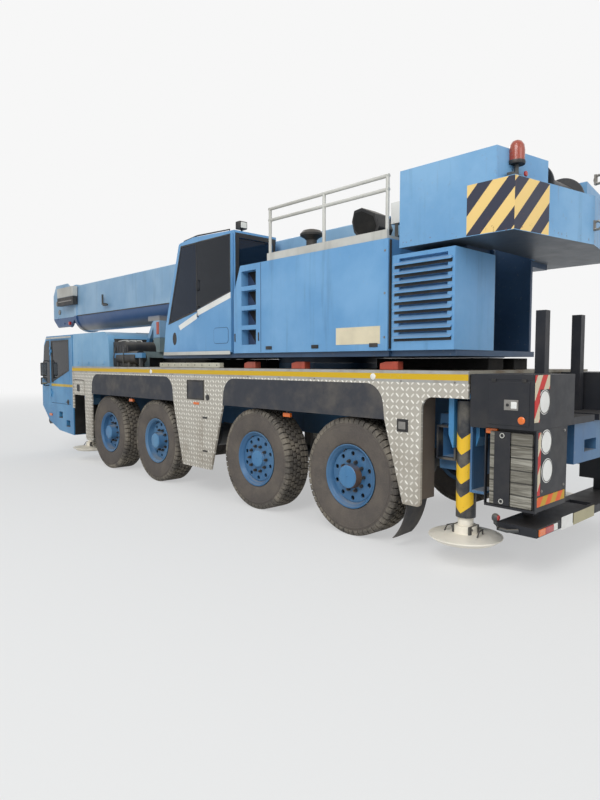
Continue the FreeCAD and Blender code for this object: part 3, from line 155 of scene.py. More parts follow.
class Graph:
    """One material's node tree, and the few calls that every finish uses."""

    def __init__(self, name: str) -> None:
        """Make an empty material with its shader and output."""
        self.material = bpy.data.materials.new(name)
        self.material.use_nodes = True
        self.tree = self.material.node_tree
        self.tree.nodes.clear()
        self.shader = self.tree.nodes.new("ShaderNodeBsdfPrincipled")
        output = self.tree.nodes.new("ShaderNodeOutputMaterial")
        self.tree.links.new(self.shader.outputs[0], output.inputs[0])

    def node(self, kind: str, settings: dict[str, Any] | None = None,
             inputs: dict[int | str, Any] | None = None, output: int | str = 0) -> Wire:
        """Add a node, set it, feed it and return one of its outputs.

        Args:
            kind: The node's type.
            settings: Properties, set first.
            inputs: Socket index or name to a value or a Wire.
            output: Which output to return.

        Returns:
            The output as a Wire.
        """
        made = self.tree.nodes.new(kind)
        for key, value in (settings or {}).items():
            setattr(made, key, value)
        for key, value in (inputs or {}).items():
            if isinstance(value, Wire):
                self.tree.links.new(value.socket, made.inputs[key])
            elif isinstance(value, tuple) and len(value) == 3 and made.inputs[key].type == "RGBA":
                made.inputs[key].default_value = (*value, 1.0)
            else:
                made.inputs[key].default_value = value
        return Wire(self, made.outputs[output])

    def coords(self) -> Wire:
        """Return the object's own coordinates, which are the frame's."""
        return self.node("ShaderNodeTexCoord", output="Object")

    def axes(self, vector: Wire | None = None) -> tuple[Wire, Wire, Wire]:
        """Return a vector's three parts; the object's coordinates if none is given."""
        split = self.node("ShaderNodeSeparateXYZ", inputs={0: vector or self.coords()})
        outputs = split.socket.node.outputs
        return tuple(Wire(self, outputs[index]) for index in range(3))

    def seen(self) -> Wire:
        """Return 1 for what is seen directly, in a mirror or through glass, else 0."""
        rays = self.node("ShaderNodeLightPath", output="Is Camera Ray")
        outputs = rays.socket.node.outputs
        for kind in ("Is Glossy Ray", "Is Transmission Ray"):
            rays = rays.math("MAXIMUM", Wire(self, outputs[kind]))
        return rays

    def facing(self) -> tuple[Wire, Wire, Wire]:
        """Return the parts of the surface's outward direction."""
        return self.axes(self.node("ShaderNodeNewGeometry", output="Normal"))

    def noise(self, scale: float | tuple[float, float, float], detail: float = 4.0,
              roughness: float = 0.55) -> Wire:
        """Return noise around 0.5, with its scale in cells a metre, alone or for each axis."""
        stretch = scale if isinstance(scale, tuple) else (scale, scale, scale)
        mapped = self.node("ShaderNodeMapping", inputs={"Vector": self.coords(), "Scale": stretch})
        return self.node("ShaderNodeTexNoise", inputs={
            "Vector": mapped, "Scale": 1.0, "Detail": detail, "Roughness": roughness})

    def mix(self, factor: Wire | float, first: Wire | Colour, second: Wire | Colour) -> Wire:
        """Return a blend of two colours: the first at 0, the second at 1."""
        return self.node("ShaderNodeMix", {"data_type": "RGBA"}, {0: factor, 6: first, 7: second}, 2)

    def bump(self, height: Wire, distance: float, strength: float = 1.0) -> Wire:
        """Return a normal bent by a height."""
        return self.node("ShaderNodeBump", inputs={
            "Height": height, "Distance": distance, "Strength": strength})

    def finish(self, colour: Wire | Colour, roughness: Wire | float = 0.5, metallic: float = 0.0,
               normal: Wire | None = None, coat: float = 0.0) -> bpy.types.Material:
        """Feed the shader and return the material.

        Args:
            colour: Base colour.
            roughness: Roughness.
            metallic: How metallic it is.
            normal: A bent normal, if any.
            coat: Clear coat.

        Returns:
            The finished material.
        """
        values = {"Base Color": colour, "Roughness": roughness, "Metallic": metallic,
                  "Normal": normal, "Coat Weight": coat}
        self.shader.inputs["Coat Roughness"].default_value = 0.35
        for key, value in values.items():
            if isinstance(value, Wire):
                self.tree.links.new(value.socket, self.shader.inputs[key])
            elif key == "Base Color":
                self.shader.inputs[key].default_value = (*value, 1.0)
            elif value is not None:
                self.shader.inputs[key].default_value = value
        return self.material


class SkyGraph(Graph):
    """The world's node tree, with a graph's calls."""

    def __init__(self, world: bpy.types.World) -> None:
        """Take the world's tree and empty it."""
        self.tree = world.node_tree
        self.tree.nodes.clear()


@dataclass(frozen=True)
class Paint:
    """Faded machine paint: large patches of wear, run-down streaks and dust on top faces."""

    name: str
    colour: Colour
    fade: Colour
    dust: Colour = shade(170, 160, 140)
    dust_share: float = 0.35
    roughness: float = 0.42
    grime: float = 0.35

    def weathered(self, graph: Graph) -> Wire:
        """Return the paint's colour over the surface.

        Colour = paint, blended to its faded shade by slow noise, darkened along thin upright
        streaks, and to dust where the surface looks up.
        """
        patches = graph.noise(0.9, 6.0, 0.6).ramp(0.38, 0.68)
        streaks = graph.noise((7.0, 7.0, 0.5), 5.0, 0.65).ramp(0.52, 0.72)
        specks = graph.noise(26.0, 3.0, 0.7).ramp(0.62, 0.78)
        up = graph.facing()[2].ramp(0.55, 0.98)
        base = graph.mix(patches, self.colour, self.fade)
        dark = tuple(channel * 0.55 for channel in self.colour)
        base = graph.mix(streaks * self.grime, base, dark)
        base = graph.mix(specks * (self.grime * 0.5), base, self.dust)
        return graph.mix(up * self.dust_share, base, self.dust)

    def build(self) -> bpy.types.Material:
        """Return the material."""
        graph = Graph(self.name)
        rough = graph.noise(5.0, 4.0, 0.6) * 0.3 + (self.roughness - 0.12)
        normal = graph.bump(graph.noise(3.5, 2.0, 0.5), 0.004, 0.25)
        return graph.finish(self.weathered(graph), rough, 0.0, normal, 0.15)


@dataclass(frozen=True)
class WeightPaint(Paint):
    """The counterweight's paint, with hazard stripes at its rear corners and rust runs."""

    cream: Colour = shade(240, 205, 130)
    navy: Colour = shade(38, 42, 62)
    rust: Colour = shade(120, 70, 38)
    # under: grey for faces that look down, a painted shade.
    under: Colour = shade(62, 62, 64)
    stripe_from: float = -5.81
    stripe_low: float = 3.11
    stripe_high: float = 3.575
    rear_inner: float = 0.735
    stripe_pitch: float = 0.30

    def build(self) -> bpy.types.Material:
        """Return the material: slanted bands of X + Z on the sides, and of Y + Z on the tail."""
        graph = Graph(self.name)
        across, side, height = graph.axes()
        facing_x, facing_y, facing_z = graph.facing()
        flank = abs(facing_y).above(0.7)
        tail = facing_x.below(-0.7)
        band = height.between(self.stripe_low, self.stripe_high)
        on_side = flank * across.below(self.stripe_from) * band
        on_tail = tail * abs(side).above(self.rear_inner) * band
        run = across * flank + (1.25 - abs(side)) * tail + height * 0.9 * (flank - tail)
        bars = (run / self.stripe_pitch).math("FRACT").above(0.5)
        stripes = graph.mix(bars, self.cream, self.navy)
        base = graph.mix((on_side + on_tail).math("MINIMUM", 1.0), self.weathered(graph), stripes)
        runs = graph.noise((9.0, 9.0, 0.35), 4.0, 0.7).ramp(0.60, 0.70)
        below_top = (height - 3.2).ramp(0.0, 0.75)
        edges = graph.noise(14.0, 5.0, 0.7).ramp(0.60, 0.68) * ((height - 3.14).below(0.03) + 0.12)
        base = graph.mix(runs * below_top * 0.55, base, self.rust)
        base = graph.mix(edges.math("MINIMUM", 0.7), base, self.rust)
        # Faces that look down are blended to grey: painted shade.
        base = graph.mix(facing_z.below(-0.6) * 0.9, base, self.under)
        rough = graph.noise(5.0, 4.0, 0.6) * 0.3 + (self.roughness - 0.1)
        return graph.finish(base, rough, 0.0, graph.bump(graph.noise(3.0, 2.0, 0.5), 0.005, 0.3), 0.1)


@dataclass(frozen=True)
class BoomPaint(Paint):
    """The boom's paint: pale on its flat sides, a deeper blue on the rounded lower half, partly darker paint
    and partly painted shade of the downward-facing half.
    """

    # low: the lower half's colour, partly darker paint and partly painted shade of the half that faces down.
    low: Colour = shade(50, 86, 132)
    seam: float = 3.03

    def weathered(self, graph: Graph) -> Wire:
        """Return the paint's colour: the deeper blue where the surface lies below the seam, partly painted
        shade, blended to the dust colour towards the very bottom.
        """
        height = graph.axes()[2]
        below = height.below(self.seam) * (height - 2.700).above(0.0)
        underside = (2.86 - height).ramp(0.0, 0.14)
        lower = graph.mix(underside * 0.65, self.low, self.dust)
        return graph.mix(below, super().weathered(graph), lower)


@dataclass(frozen=True)
class RestPaint(Paint):
    """The boom rest's grey-green column, with its blue slanted strut ahead of it."""

    strut: Colour = shade(78, 134, 180)

    def weathered(self, graph: Graph) -> Wire:
        """Return the colour: the strut's blue ahead of the column and above its foot."""
        across, _, height = graph.axes()
        return graph.mix(across.above(1.080) * height.above(2.165), super().weathered(graph), self.strut)


@dataclass(frozen=True)
class JackPaint(Paint):
    """The outrigger beam's blue, and its dark jack tube with three yellow chevrons."""

    tube_x: float = 0.0
    tube_side: float = 1.170
    dark: Colour = shade(36, 40, 47)
    yellow: Colour = shade(244, 196, 40)

    def weathered(self, graph: Graph) -> Wire:
        """Return the colour: bands of height - 0.75 * way round the tube from its outer line."""
        across, side, height = graph.axes()
        outward = abs(side) - self.tube_side
        tube = abs(side).above(1.062)
        way = abs((across - self.tube_x).math("ARCTAN2", outward)) * 0.095
        level = height - way * 0.75
        band = ((level - 0.494) / 0.281).math("FRACT").below(0.54) * level.between(0.490, 1.212)
        worn = graph.noise(30.0, 4.0, 0.7).ramp(0.64, 0.74)
        chevron = band * way.below(0.128) * (1.0 - worn * 0.8)
        dusty = graph.mix(graph.noise(4.0, 5.0, 0.6).ramp(0.4, 0.7) * 0.35, self.dark, self.dust)
        return graph.mix(tube, super().weathered(graph), graph.mix(chevron, dusty, self.yellow))


@dataclass(frozen=True)
class DeckPlate:
    """Worn alloy deck with a pale edge rail and its yellow marking stripe."""

    name: str
    alloy: Colour = shade(150, 145, 132)
    rail: Colour = shade(174, 173, 168)
    yellow: Colour = shade(216, 176, 28)
    earth: Colour = shade(120, 100, 78)
    stripe: tuple[float, float] = (1.766, 1.825)

    def build(self) -> bpy.types.Material:
        """Return the material: rail colour at the edges, stripe between two heights."""
        graph = Graph(self.name)
        _, side, height = graph.axes()
        edge = abs(side).above(1.3735)
        worn = graph.noise(18.0, 4.0, 0.7).ramp(0.66, 0.74)
        stripe = height.between(*self.stripe) * edge * (1.0 - worn * 0.7)
        dirt = graph.noise(2.2, 6.0, 0.65).ramp(0.42, 0.62)
        base = graph.mix(dirt * 0.8, self.alloy, self.earth)
        pale = graph.mix(graph.noise(6.0, 5.0, 0.6).ramp(0.4, 0.75) * 0.35, self.rail, self.earth)
        base = graph.mix(edge, base, pale)
        base = graph.mix(stripe, base, self.yellow)
        return graph.finish(base, 0.5, 0.25, graph.bump(graph.noise(40.0, 2.0, 0.5), 0.001, 0.4))


@dataclass(frozen=True)
class ChequerPlate:
    """Rolled alloy plate: small raised lozenges, turned this way and that by turns."""

    name: str
    pitch: float = 0.063
    low: Colour = shade(186, 180, 168)
    # high: the raised lozenges' colour, lighter than the plate: a painted highlight.
    high: Colour = shade(250, 246, 236)
    earth: Colour = shade(128, 112, 92)

    def lozenges(self, graph: Graph) -> Wire:
        """Return 1 on the raised lozenges turned one way and 0.68 on those turned the other: the difference
        is a painted highlight on the ones that catch the light.

        In each square cell the two diagonals of the cell are the lozenge's long and short axes,
        swapped from cell to cell; the lozenge is where long * 0.5 and short * 2.1 make an ellipse.
        """
        across, _, height = graph.axes()
        column = across / self.pitch
        row = height / self.pitch
        cell = column.math("FLOOR") + row.math("FLOOR")
        swap = (cell / 2.0).math("FRACT").above(0.25) * 2.0 - 1.0
        u = column.math("FRACT") - 0.5
        v = (row.math("FRACT") - 0.5) * swap
        long = (u + v) * 0.707
        short = (u - v) * 0.707
        reach = (long * long * 4.4 + short * short * 34.0).math("SQRT")
        # Lozenges turned one way are scaled to 0.68: painted highlight on the ones that catch the light.
        return (1.0 - reach.ramp(0.72, 1.0)) * (swap * 0.16 + 0.84)

    def build(self) -> bpy.types.Material:
        """Return the material."""
        graph = Graph(self.name)
        raised = self.lozenges(graph)
        _, _, height = graph.axes()
        splash = (1.0 - height.ramp(0.5, 1.5)) * graph.noise(3.0, 6.0, 0.65).ramp(0.35, 0.7)
        # The raised lozenges are blended to the light colour: painted highlight.
        base = graph.mix(raised, self.low, self.high)
        base = graph.mix(splash * 0.5, base, self.earth)
        base = graph.mix(graph.noise((10.0, 10.0, 0.8), 4.0, 0.6).ramp(0.55, 0.75) * 0.3, base, self.earth)
        return graph.finish(base, 0.46, 0.15, graph.bump(raised, 0.0025, 0.9))


@dataclass(frozen=True)
class Rubber:
    """Tyre rubber, dusty in wide patches and fine specks."""

    name: str
    colour: Colour = shade(72, 69, 66)
    dust: Colour = shade(142, 130, 114)
    share: float = 0.55

    def build(self) -> bpy.types.Material:
        """Return the material: two noises blend rubber to dust."""
        graph = Graph(self.name)
        wide = graph.noise(4.0, 6.0, 0.65).ramp(0.35, 0.7)
        fine = graph.noise(60.0, 3.0, 0.6).ramp(0.4, 0.75)
        base = graph.mix(wide * self.share, self.colour, self.dust)
        base = graph.mix(fine * 0.25, base, self.dust)
        return graph.finish(base, 0.88, 0.0, graph.bump(graph.noise(180.0, 2.0, 0.6), 0.0006, 0.5))


@dataclass(frozen=True)
class Plastic:
    """Moulded plastic or dull dark paint with a little dust."""

    name: str
    colour: Colour
    dust: Colour = shade(120, 112, 100)
    share: float = 0.25
    roughness: float = 0.6
    metallic: float = 0.0
    grain: float = 220.0

    def build(self) -> bpy.types.Material:
        """Return the material: dust by slow noise, a fine moulded grain as bump."""
        graph = Graph(self.name)
        settled = graph.noise(2.5, 6.0, 0.65).ramp(0.4, 0.75)
        up = graph.facing()[2].ramp(0.4, 0.95)
        base = graph.mix(settled * self.share, self.colour, self.dust)
        base = graph.mix(up * (self.share * 1.4), base, self.dust)
        rough = graph.noise(8.0, 3.0, 0.5) * 0.25 + (self.roughness - 0.12)
        normal = graph.bump(graph.noise(self.grain, 1.0, 0.5), 0.0006, 0.35)
        return graph.finish(base, rough, self.metallic, normal)


@dataclass(frozen=True)
class Timber:
    """Weathered boards: grey wood with grain along X and dark checks."""

    name: str
    light: Colour = shade(172, 168, 156)
    dark: Colour = shade(94, 90, 80)
    first: float = 0.670
    board: float = 0.109

    def build(self) -> bpy.types.Material:
        """Return the material: grain stretched along X, a tone for each layer, and the gaps between layers
        painted dark, a painted shade between the boards.
        """
        graph = Graph(self.name)
        layer = (graph.axes()[2] - self.first) / self.board
        tone = (layer.math("FLOOR") * 0.381).math("FRACT")
        # The gaps between layers are painted near black: painted shade between the stacked boards.
        gap = abs(layer.math("FRACT") - 0.5).above(0.44)
        grain = graph.noise((3.0, 40.0, 60.0), 6.0, 0.65)
        boards = graph.noise((5.0, 2.0, 9.2), 1.0, 0.4).ramp(0.35, 0.65)
        base = graph.mix(grain.ramp(0.35, 0.65), self.dark, self.light)
        base = graph.mix(boards * 0.25, base, self.dark)
        base = graph.mix(tone * 0.45, base, self.dark)
        base = graph.mix(gap * 0.8, base, shade(28, 26, 24))
        return graph.finish(base, 0.85, 0.0, graph.bump(grain, 0.004, 0.7))


@dataclass(frozen=True)
class Pane:
    """Tinted glass with a light film of dust."""

    name: str
    tint: Colour = shade(60, 72, 76)
    alpha: float = 0.45

    def build(self) -> bpy.types.Material:
        """Return the material: mostly see-through, with dust raising its cover."""
        graph = Graph(self.name)
        film = graph.noise(3.0, 5.0, 0.6).ramp(0.45, 0.8)
        cover = film * 0.12 + self.alpha
        graph.tree.links.new(cover.socket, graph.shader.inputs["Alpha"])
        graph.shader.inputs["Specular IOR Level"].default_value = 0.25
        return graph.finish(self.tint, film * 0.12 + 0.04, 0.0)


@dataclass(frozen=True)
class Lens:
    """A coloured lamp lens or reflector, with fine ribs."""

    name: str
    colour: Colour

    def build(self) -> bpy.types.Material:
        """Return the material: glossy plastic, ribbed by a triangle wave of height."""
        graph = Graph(self.name)
        _, side, height = graph.axes()
        ribs = height.wave(0.012) + side.wave(0.012)
        dusty = graph.noise(30.0, 4.0, 0.6).ramp(0.5, 0.8)
        base = graph.mix(dusty * 0.35, self.colour, shade(150, 130, 110))
        return graph.finish(base, 0.2, 0.0, graph.bump(ribs, 0.0012, 0.5), 0.6)


@dataclass(frozen=True)
class Stripes:
    """Slanted two-colour marking boards."""

    name: str
    first: Colour
    second: Colour
    pitch: float = 0.2
    slope: float = 1.0

    def build(self) -> bpy.types.Material:
        """Return the material: bands of height + slope * (X + Y)."""
        graph = Graph(self.name)
        across, side, height = graph.axes()
        bars = ((height + (across + side) * self.slope) / self.pitch).math("FRACT").above(0.5)
        worn = graph.noise(22.0, 5.0, 0.7).ramp(0.62, 0.75)
        base = graph.mix(bars, self.first, self.second)
        base = graph.mix(worn * 0.5, base, shade(110, 98, 84))
        return graph.finish(base, 0.5, 0.0, graph.bump(graph.noise(90.0, 2.0, 0.5), 0.0008, 0.3))


@dataclass(frozen=True)
class Bare:
    """Bare or plated metal, scuffed, with dirt in slow patches."""

    name: str
    colour: Colour
    roughness: float = 0.35
    metallic: float = 0.9
    dirt: Colour = shade(90, 80, 68)
    share: float = 0.3

    def build(self) -> bpy.types.Material:
        """Return the material: dirt by noise, scratches as stretched noise in the roughness."""
        graph = Graph(self.name)
        stain = graph.noise(5.0, 6.0, 0.65).ramp(0.42, 0.72)
        scratch = graph.noise((60.0, 60.0, 6.0), 3.0, 0.6)
        base = graph.mix(stain * self.share, self.colour, self.dirt)
        return graph.finish(base, scratch * 0.3 + (self.roughness - 0.1), self.metallic,
                            graph.bump(scratch, 0.0004, 0.3))


# Meshes. Each builder works out whole arrays and returns vertices and faces.

Mesh = tuple[np.ndarray, list]


def grid_faces(rows: int, columns: int, wrap_rows: bool = False, wrap_columns: bool = False) -> np.ndarray:
    """Return the quads of a grid of points numbered row by row.

    Args:
        rows: Number of rows.
        columns: Number of columns.
        wrap_rows: Join the last row to the first.
        wrap_columns: Join the last column to the first.

    Returns:
        One row of four indices a quad: (r, c), (r, c+1), (r+1, c+1), (r+1, c).
    """
    r = np.arange(rows if wrap_rows else rows - 1)
    c = np.arange(columns if wrap_columns else columns - 1)
    r, c = [part.ravel() for part in np.meshgrid(r, c, indexing="ij")]
    right = (c + 1) % columns
    down = (r + 1) % rows
    quads = [r * columns + c, r * columns + right, down * columns + right, down * columns + c]
    return np.stack(quads, axis=1)


def revolve(profile: Sequence[tuple[float, float]], centre: tuple[float, float, float],
            axis: str = "Y", steps: int = 64) -> Mesh:
    """Return a closed surface of revolution.

    Point(a, k) = centre + radius_k * (cos a, sin a) across the axis + along_k on it.

    Args:
        profile: A closed loop of (radius, along).
        centre: Where the axis's zero lies.
        axis: The axis's name.
        steps: Points round the circle.

    Returns:
        The mesh.
    """
    shape = np.array(profile, dtype=float)
    angle = np.linspace(0.0, 2.0 * np.pi, steps, endpoint=False)[:, None]
    first = shape[None, :, 0] * np.cos(angle)
    second = shape[None, :, 0] * np.sin(angle)
    along = np.broadcast_to(shape[None, :, 1], first.shape)
    order = {"X": (along, first, second), "Y": (second, along, first), "Z": (first, second, along)}[axis]
    points = np.stack(order, axis=-1).reshape(-1, 3) + np.array(centre)
    return points, grid_faces(steps, len(shape), True, True)[:, ::-1].tolist()


def tube(path: Sequence[Sequence[float]], radius: float, sides: int = 10) -> Mesh:
    """Return a round bar along straight runs, with closed ends.

    At each point of the path a circle of the radius lies square to the mean of its two runs.

    Args:
        path: The middle line's points.
        radius: The bar's radius.
        sides: Points round it.

    Returns:
        The mesh.
    """
    line = np.array(path, dtype=float)
    runs = np.diff(line, axis=0)
    runs /= np.linalg.norm(runs, axis=1)[:, None]
    along = np.vstack([runs[:1], runs[:-1] + runs[1:], runs[-1:]])
    along /= np.linalg.norm(along, axis=1)[:, None]
    guide = np.where(np.abs(along[:, 2:3]) > 0.9, [[1.0, 0.0, 0.0]], [[0.0, 0.0, 1.0]])
    first = np.cross(along, guide)
    first /= np.linalg.norm(first, axis=1)[:, None]
    second = np.cross(along, first)
    angle = np.linspace(0.0, 2.0 * np.pi, sides, endpoint=False)
    cos, sin = np.cos(angle)[None, :, None], np.sin(angle)[None, :, None]
    ring = first[:, None, :] * cos + second[:, None, :] * sin
    points = (line[:, None, :] + radius * ring).reshape(-1, 3)
    faces = grid_faces(len(line), sides, False, True).tolist()
    last = (len(line) - 1) * sides
    faces.append(list(range(sides))[::-1])
    faces.append([last + index for index in range(sides)])
    return points, faces


BOX_CORNERS = np.array([(x, y, z) for x in (0, 1) for y in (0, 1) for z in (0, 1)], dtype=float)
BOX_FACES = [[0, 1, 3, 2], [4, 6, 7, 5], [0, 4, 5, 1], [2, 3, 7, 6], [0, 2, 6, 4], [1, 5, 7, 3]]


def slab(low: Sequence[float], high: Sequence[float]) -> Mesh:
    """Return a box between two corners, for trim that is bevelled afterwards."""
    low, high = np.array(low, dtype=float), np.array(high, dtype=float)
    return np.minimum(low, high) + BOX_CORNERS * np.abs(high - low), [list(face) for face in BOX_FACES]


def prism(outline: Sequence[tuple[float, float]], low: float, high: float, axis: str = "Y") -> Mesh:
    """Return an outline pulled along an axis; it is (X, Z) for Y, (Y, Z) for X and (X, Y) for Z."""
    shape = np.array(outline, dtype=float)
    count = len(shape)
    level = np.repeat([low, high], count)
    first, second = np.tile(shape[:, 0], 2), np.tile(shape[:, 1], 2)
    order = {"Y": (first, level, second), "X": (level, first, second), "Z": (first, second, level)}[axis]
    sides = [[k, (k + 1) % count, (k + 1) % count + count, k + count] for k in range(count)]
    return np.stack(order, axis=1), sides + [list(range(count))[::-1], [k + count for k in range(count)]]


def rim(outline: Sequence[tuple[float, float]], width: float, low: float, high: float,
        axis: str = "Y") -> Mesh:
    """Return a flat frame round an outline that runs anticlockwise.

    Each outer corner is the inner one moved along its mitre: (n1 + n2) * width / (1 + n1 . n2),
    n1 and n2 being the outward normals of the two edges that meet there.
    """
    inner = np.array(outline, dtype=float)
    along = np.roll(inner, -1, axis=0) - inner
    along /= np.linalg.norm(along, axis=1, keepdims=True)
    normal = np.stack([along[:, 1], -along[:, 0]], axis=1)
    before = np.roll(normal, 1, axis=0)
    outer = inner + (normal + before) * width / (1.0 + np.sum(normal * before, axis=1, keepdims=True))
    count = len(inner)
    flat = np.vstack([inner, outer, outer, inner])
    level = np.repeat([low, low, high, high], count)
    order = {"Y": (flat[:, 0], level, flat[:, 1]), "X": (level, flat[:, 0], flat[:, 1])}[axis]
    return np.stack(order, axis=1), grid_faces(4, count, True, True).tolist()


def rounded(low: Sequence[float], high: Sequence[float], radius: float,
            steps: int = 6) -> list[tuple[float, float]]:
    """Return a rectangle's outline with round corners: corner centre + radius * (cos a, sin a)."""
    corner, step = np.divmod(np.arange(4 * steps), steps)
    angle = corner * (np.pi / 2.0) + step * (np.pi / 2.0) / (steps - 1)
    x = np.where((corner == 0) | (corner == 3), high[0] - radius, low[0] + radius) + radius * np.cos(angle)
    z = np.where(corner < 2, high[1] - radius, low[1] + radius) + radius * np.sin(angle)
    return list(zip(x.tolist(), z.tolist()))


def joined(meshes: Sequence[Mesh]) -> Mesh:
    """Return several meshes as one."""
    points, faces, start = [], [], 0
    for part_points, part_faces in meshes:
        points.append(part_points)
        faces.extend([[index + start for index in face] for face in part_faces])
        start += len(part_points)
    return np.vstack(points), faces


def mirrored(mesh: Mesh) -> Mesh:
    """Return a mesh's mirror image across the middle plane, facing outwards."""
    points, faces = mesh
    return points * np.array([1.0, -1.0, 1.0]), [list(face)[::-1] for face in faces]


def ringed(mesh: Mesh, centre: Sequence[float], count: int, phase: float = 0.0) -> Mesh:
    """Return copies of a mesh turned evenly round an axle along Y.

    Copy k is turned by phase + 2 pi k / count about the centre, all as one array product.

    Args:
        mesh: The mesh at angle zero.
        centre: A point of the axle.
        count: Number of copies.
        phase: The first copy's angle.

    Returns:
        One mesh.
    """
    points, faces = mesh
    angle = phase + 2.0 * np.pi * np.arange(count) / count
    cos, sin = np.cos(angle), np.sin(angle)
    turn = np.zeros((count, 3, 3))
    turn[:, 0, 0], turn[:, 0, 2], turn[:, 1, 1] = cos, sin, 1.0
    turn[:, 2, 0], turn[:, 2, 2] = -sin, cos
    middle = np.array(centre, dtype=float)
    copies = np.einsum("kij,nj->kni", turn, points - middle) + middle
    size = len(points)
    every = [[index + copy * size for index in face] for copy in range(count) for face in faces]
    return copies.reshape(-1, 3), every


@dataclass
class Workshop:
    """Makes finished objects from meshes, with their body and finish."""

    materials: dict[str, bpy.types.Material] = field(default_factory=dict)

    def material(self, finish: Any) -> bpy.types.Material:
        """Return a finish's material, made once."""
        if finish.name not in self.materials:
            self.materials[finish.name] = finish.build()
        return self.materials[finish.name]

    def piece(self, name: str, mesh: Mesh, finish: Any, body: str, bevel: float = 0.0,
              smooth: bool = False, segments: int = 2) -> bpy.types.Object:
        """Return a new object that rides on a body.

        Args:
            name: The piece's name.
            mesh: Its vertices and faces.
            finish: Its finish.
            body: The body that carries it.
            bevel: Rounding of its edges.
            smooth: Shade it smooth where edges are shallow.
            segments: Steps of the rounding.

        Returns:
            The object.
        """
        data = bpy.data.meshes.new(name)
        points, faces = mesh
        data.from_pydata(points.tolist(), [], faces)
        data.validate()
        work = bmesh.new()
        work.from_mesh(data)
        bmesh.ops.recalc_face_normals(work, faces=work.faces)
        work.to_mesh(data)
        work.free()
        made = bpy.data.objects.new(name, data)
        bpy.context.scene.collection.objects.link(made)
        data.materials.append(self.material(finish))
        if smooth:
            data.shade_smooth()
            data.set_sharp_from_angle(angle=math.radians(38.0))
        if bevel:
            rounding = made.modifiers.new("rounding", "BEVEL")
            rounding.width = bevel
            rounding.segments = segments
            rounding.limit_method = "ANGLE"
            rounding.angle_limit = math.radians(35.0)
        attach(made, body)
        return made

    def dress(self, node: str, finish: Any) -> None:
        """Give a node of the frame its finish."""
        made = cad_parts[node]
        made.data.materials.clear()
        made.data.materials.append(self.material(finish))


# Finishes by name.

SKY = shade(98, 153, 200)
CAB_BLUE = Paint("cab_blue", shade(66, 134, 184), shade(94, 160, 204), dust_share=0.25, roughness=0.36)
BODY_BLUE = Paint("body_blue", SKY, shade(120, 170, 212))
BOOM_BLUE = BoomPaint("boom_blue", shade(130, 171, 204), shade(156, 190, 216), dust_share=0.3, grime=0.3)
HOOD_BLUE = Paint("hood_blue", shade(118, 170, 208), shade(144, 188, 218), dust_share=0.3)
FRAME_BLUE = Paint("frame_blue", shade(62, 104, 146), shade(84, 122, 156), dust_share=0.5, grime=0.6)
WEIGHT_BLUE = WeightPaint("weight_blue", shade(106, 157, 200), shade(132, 177, 213), dust_share=0.3)
# The turntable frame's dark blue is painted shade: the frame lies in shadow under the housing and
# counterweight.
SHADED_TURNTABLE_BLUE = Paint("shaded_turntable_blue", shade(40, 66, 96), shade(54, 82, 112), dust_share=0.4, grime=0.6)
RIM_BLUE = Paint("rim_blue", shade(54, 102, 144), shade(78, 120, 156), dust_share=0.4, grime=0.6,
                 roughness=0.5)
FOOT_CREAM = Paint("foot_cream", shade(250, 243, 228), shade(238, 229, 210), dust_share=0.1, grime=0.2)
DECK = DeckPlate("deck_alloy")
CHEQUER = ChequerPlate("chequer_plate")
TYRE = Rubber("tyre_rubber", shade(86, 80, 76), shade(124, 114, 102), 0.4)
TREAD = Rubber("tread_rubber", shade(78, 74, 70), shade(158, 148, 132), 0.65)
FENDER = Plastic("fender_plastic", shade(47, 50, 58), share=0.4, roughness=0.65)
LOCKER = Plastic("locker_plastic", shade(20, 23, 31), share=0.10, roughness=0.5)
BLACK = Plastic("black_trim", shade(24, 25, 28), share=0.3, roughness=0.5)
MOTOR = Plastic("motor_grey", shade(74, 76, 76), share=0.5, roughness=0.55, metallic=0.3)
SEAT = Plastic("seat_fabric", shade(44, 46, 52), share=0.2, roughness=0.9, grain=420.0)
WOOD = Timber("timber")
# The bluish tint is partly the glass's tint and partly a painted reflection of the sky.
CAB_GLASS = Pane("cab_glass", shade(14, 32, 52), 0.8)
DARK_GLASS = Pane("dark_glass", shade(14, 22, 32), 0.95)
REST_GREY = RestPaint("rest_grey", shade(118, 138, 142), shade(142, 156, 154), dust_share=0.4, grime=0.5)
BEACON = Lens("beacon_lens", shade(150, 52, 22))
RECESS = Plastic("recess_blue", shade(40, 60, 92), share=0.15)
RAIL = Paint("rail_grey", shade(204, 203, 196), shade(178, 176, 168), dust_share=0.2, grime=0.4)
CHROME = Bare("rod_chrome", shade(212, 212, 210), 0.12, 1.0, share=0.1)
STEEL = Bare("bare_steel", shade(150, 148, 144), 0.4, 0.85, share=0.5)
WINCH = Plastic("winch_dark", shade(58, 60, 64), share=0.4, roughness=0.5, metallic=0.4)
AMBER = Lens("amber_lens", shade(232, 110, 20))
RED = Lens("red_lens", shade(176, 22, 20))
CLEAR = Lens("clear_lens", shade(228, 228, 220))
WHITE = Plastic("white_plate", shade(238, 237, 232), share=0.15, roughness=0.5)
CREAM = Plastic("cream_plate", shade(226, 214, 184), share=0.2, roughness=0.5)
PLATE = Plastic("pale_plate", shade(176, 168, 134), share=0.5, roughness=0.5)
HUB_BLUE = Paint("hub_blue", shade(66, 122, 168), shade(90, 142, 180), dust_share=0.2, grime=0.3)
HUB_RUST = Plastic("hub_rust", shade(96, 74, 60), dust=shade(70, 88, 110), share=0.6, roughness=0.75)
NUT = Bare("wheel_nut", shade(88, 86, 84), 0.45, 0.8, share=0.6)
YELLOW = Paint("band_yellow", shade(206, 170, 44), shade(218, 186, 74), dust_share=0.1, grime=0.4)
WARNING = Stripes("warning_board", shade(196, 40, 34), shade(208, 196, 168), 0.30, 1.55)
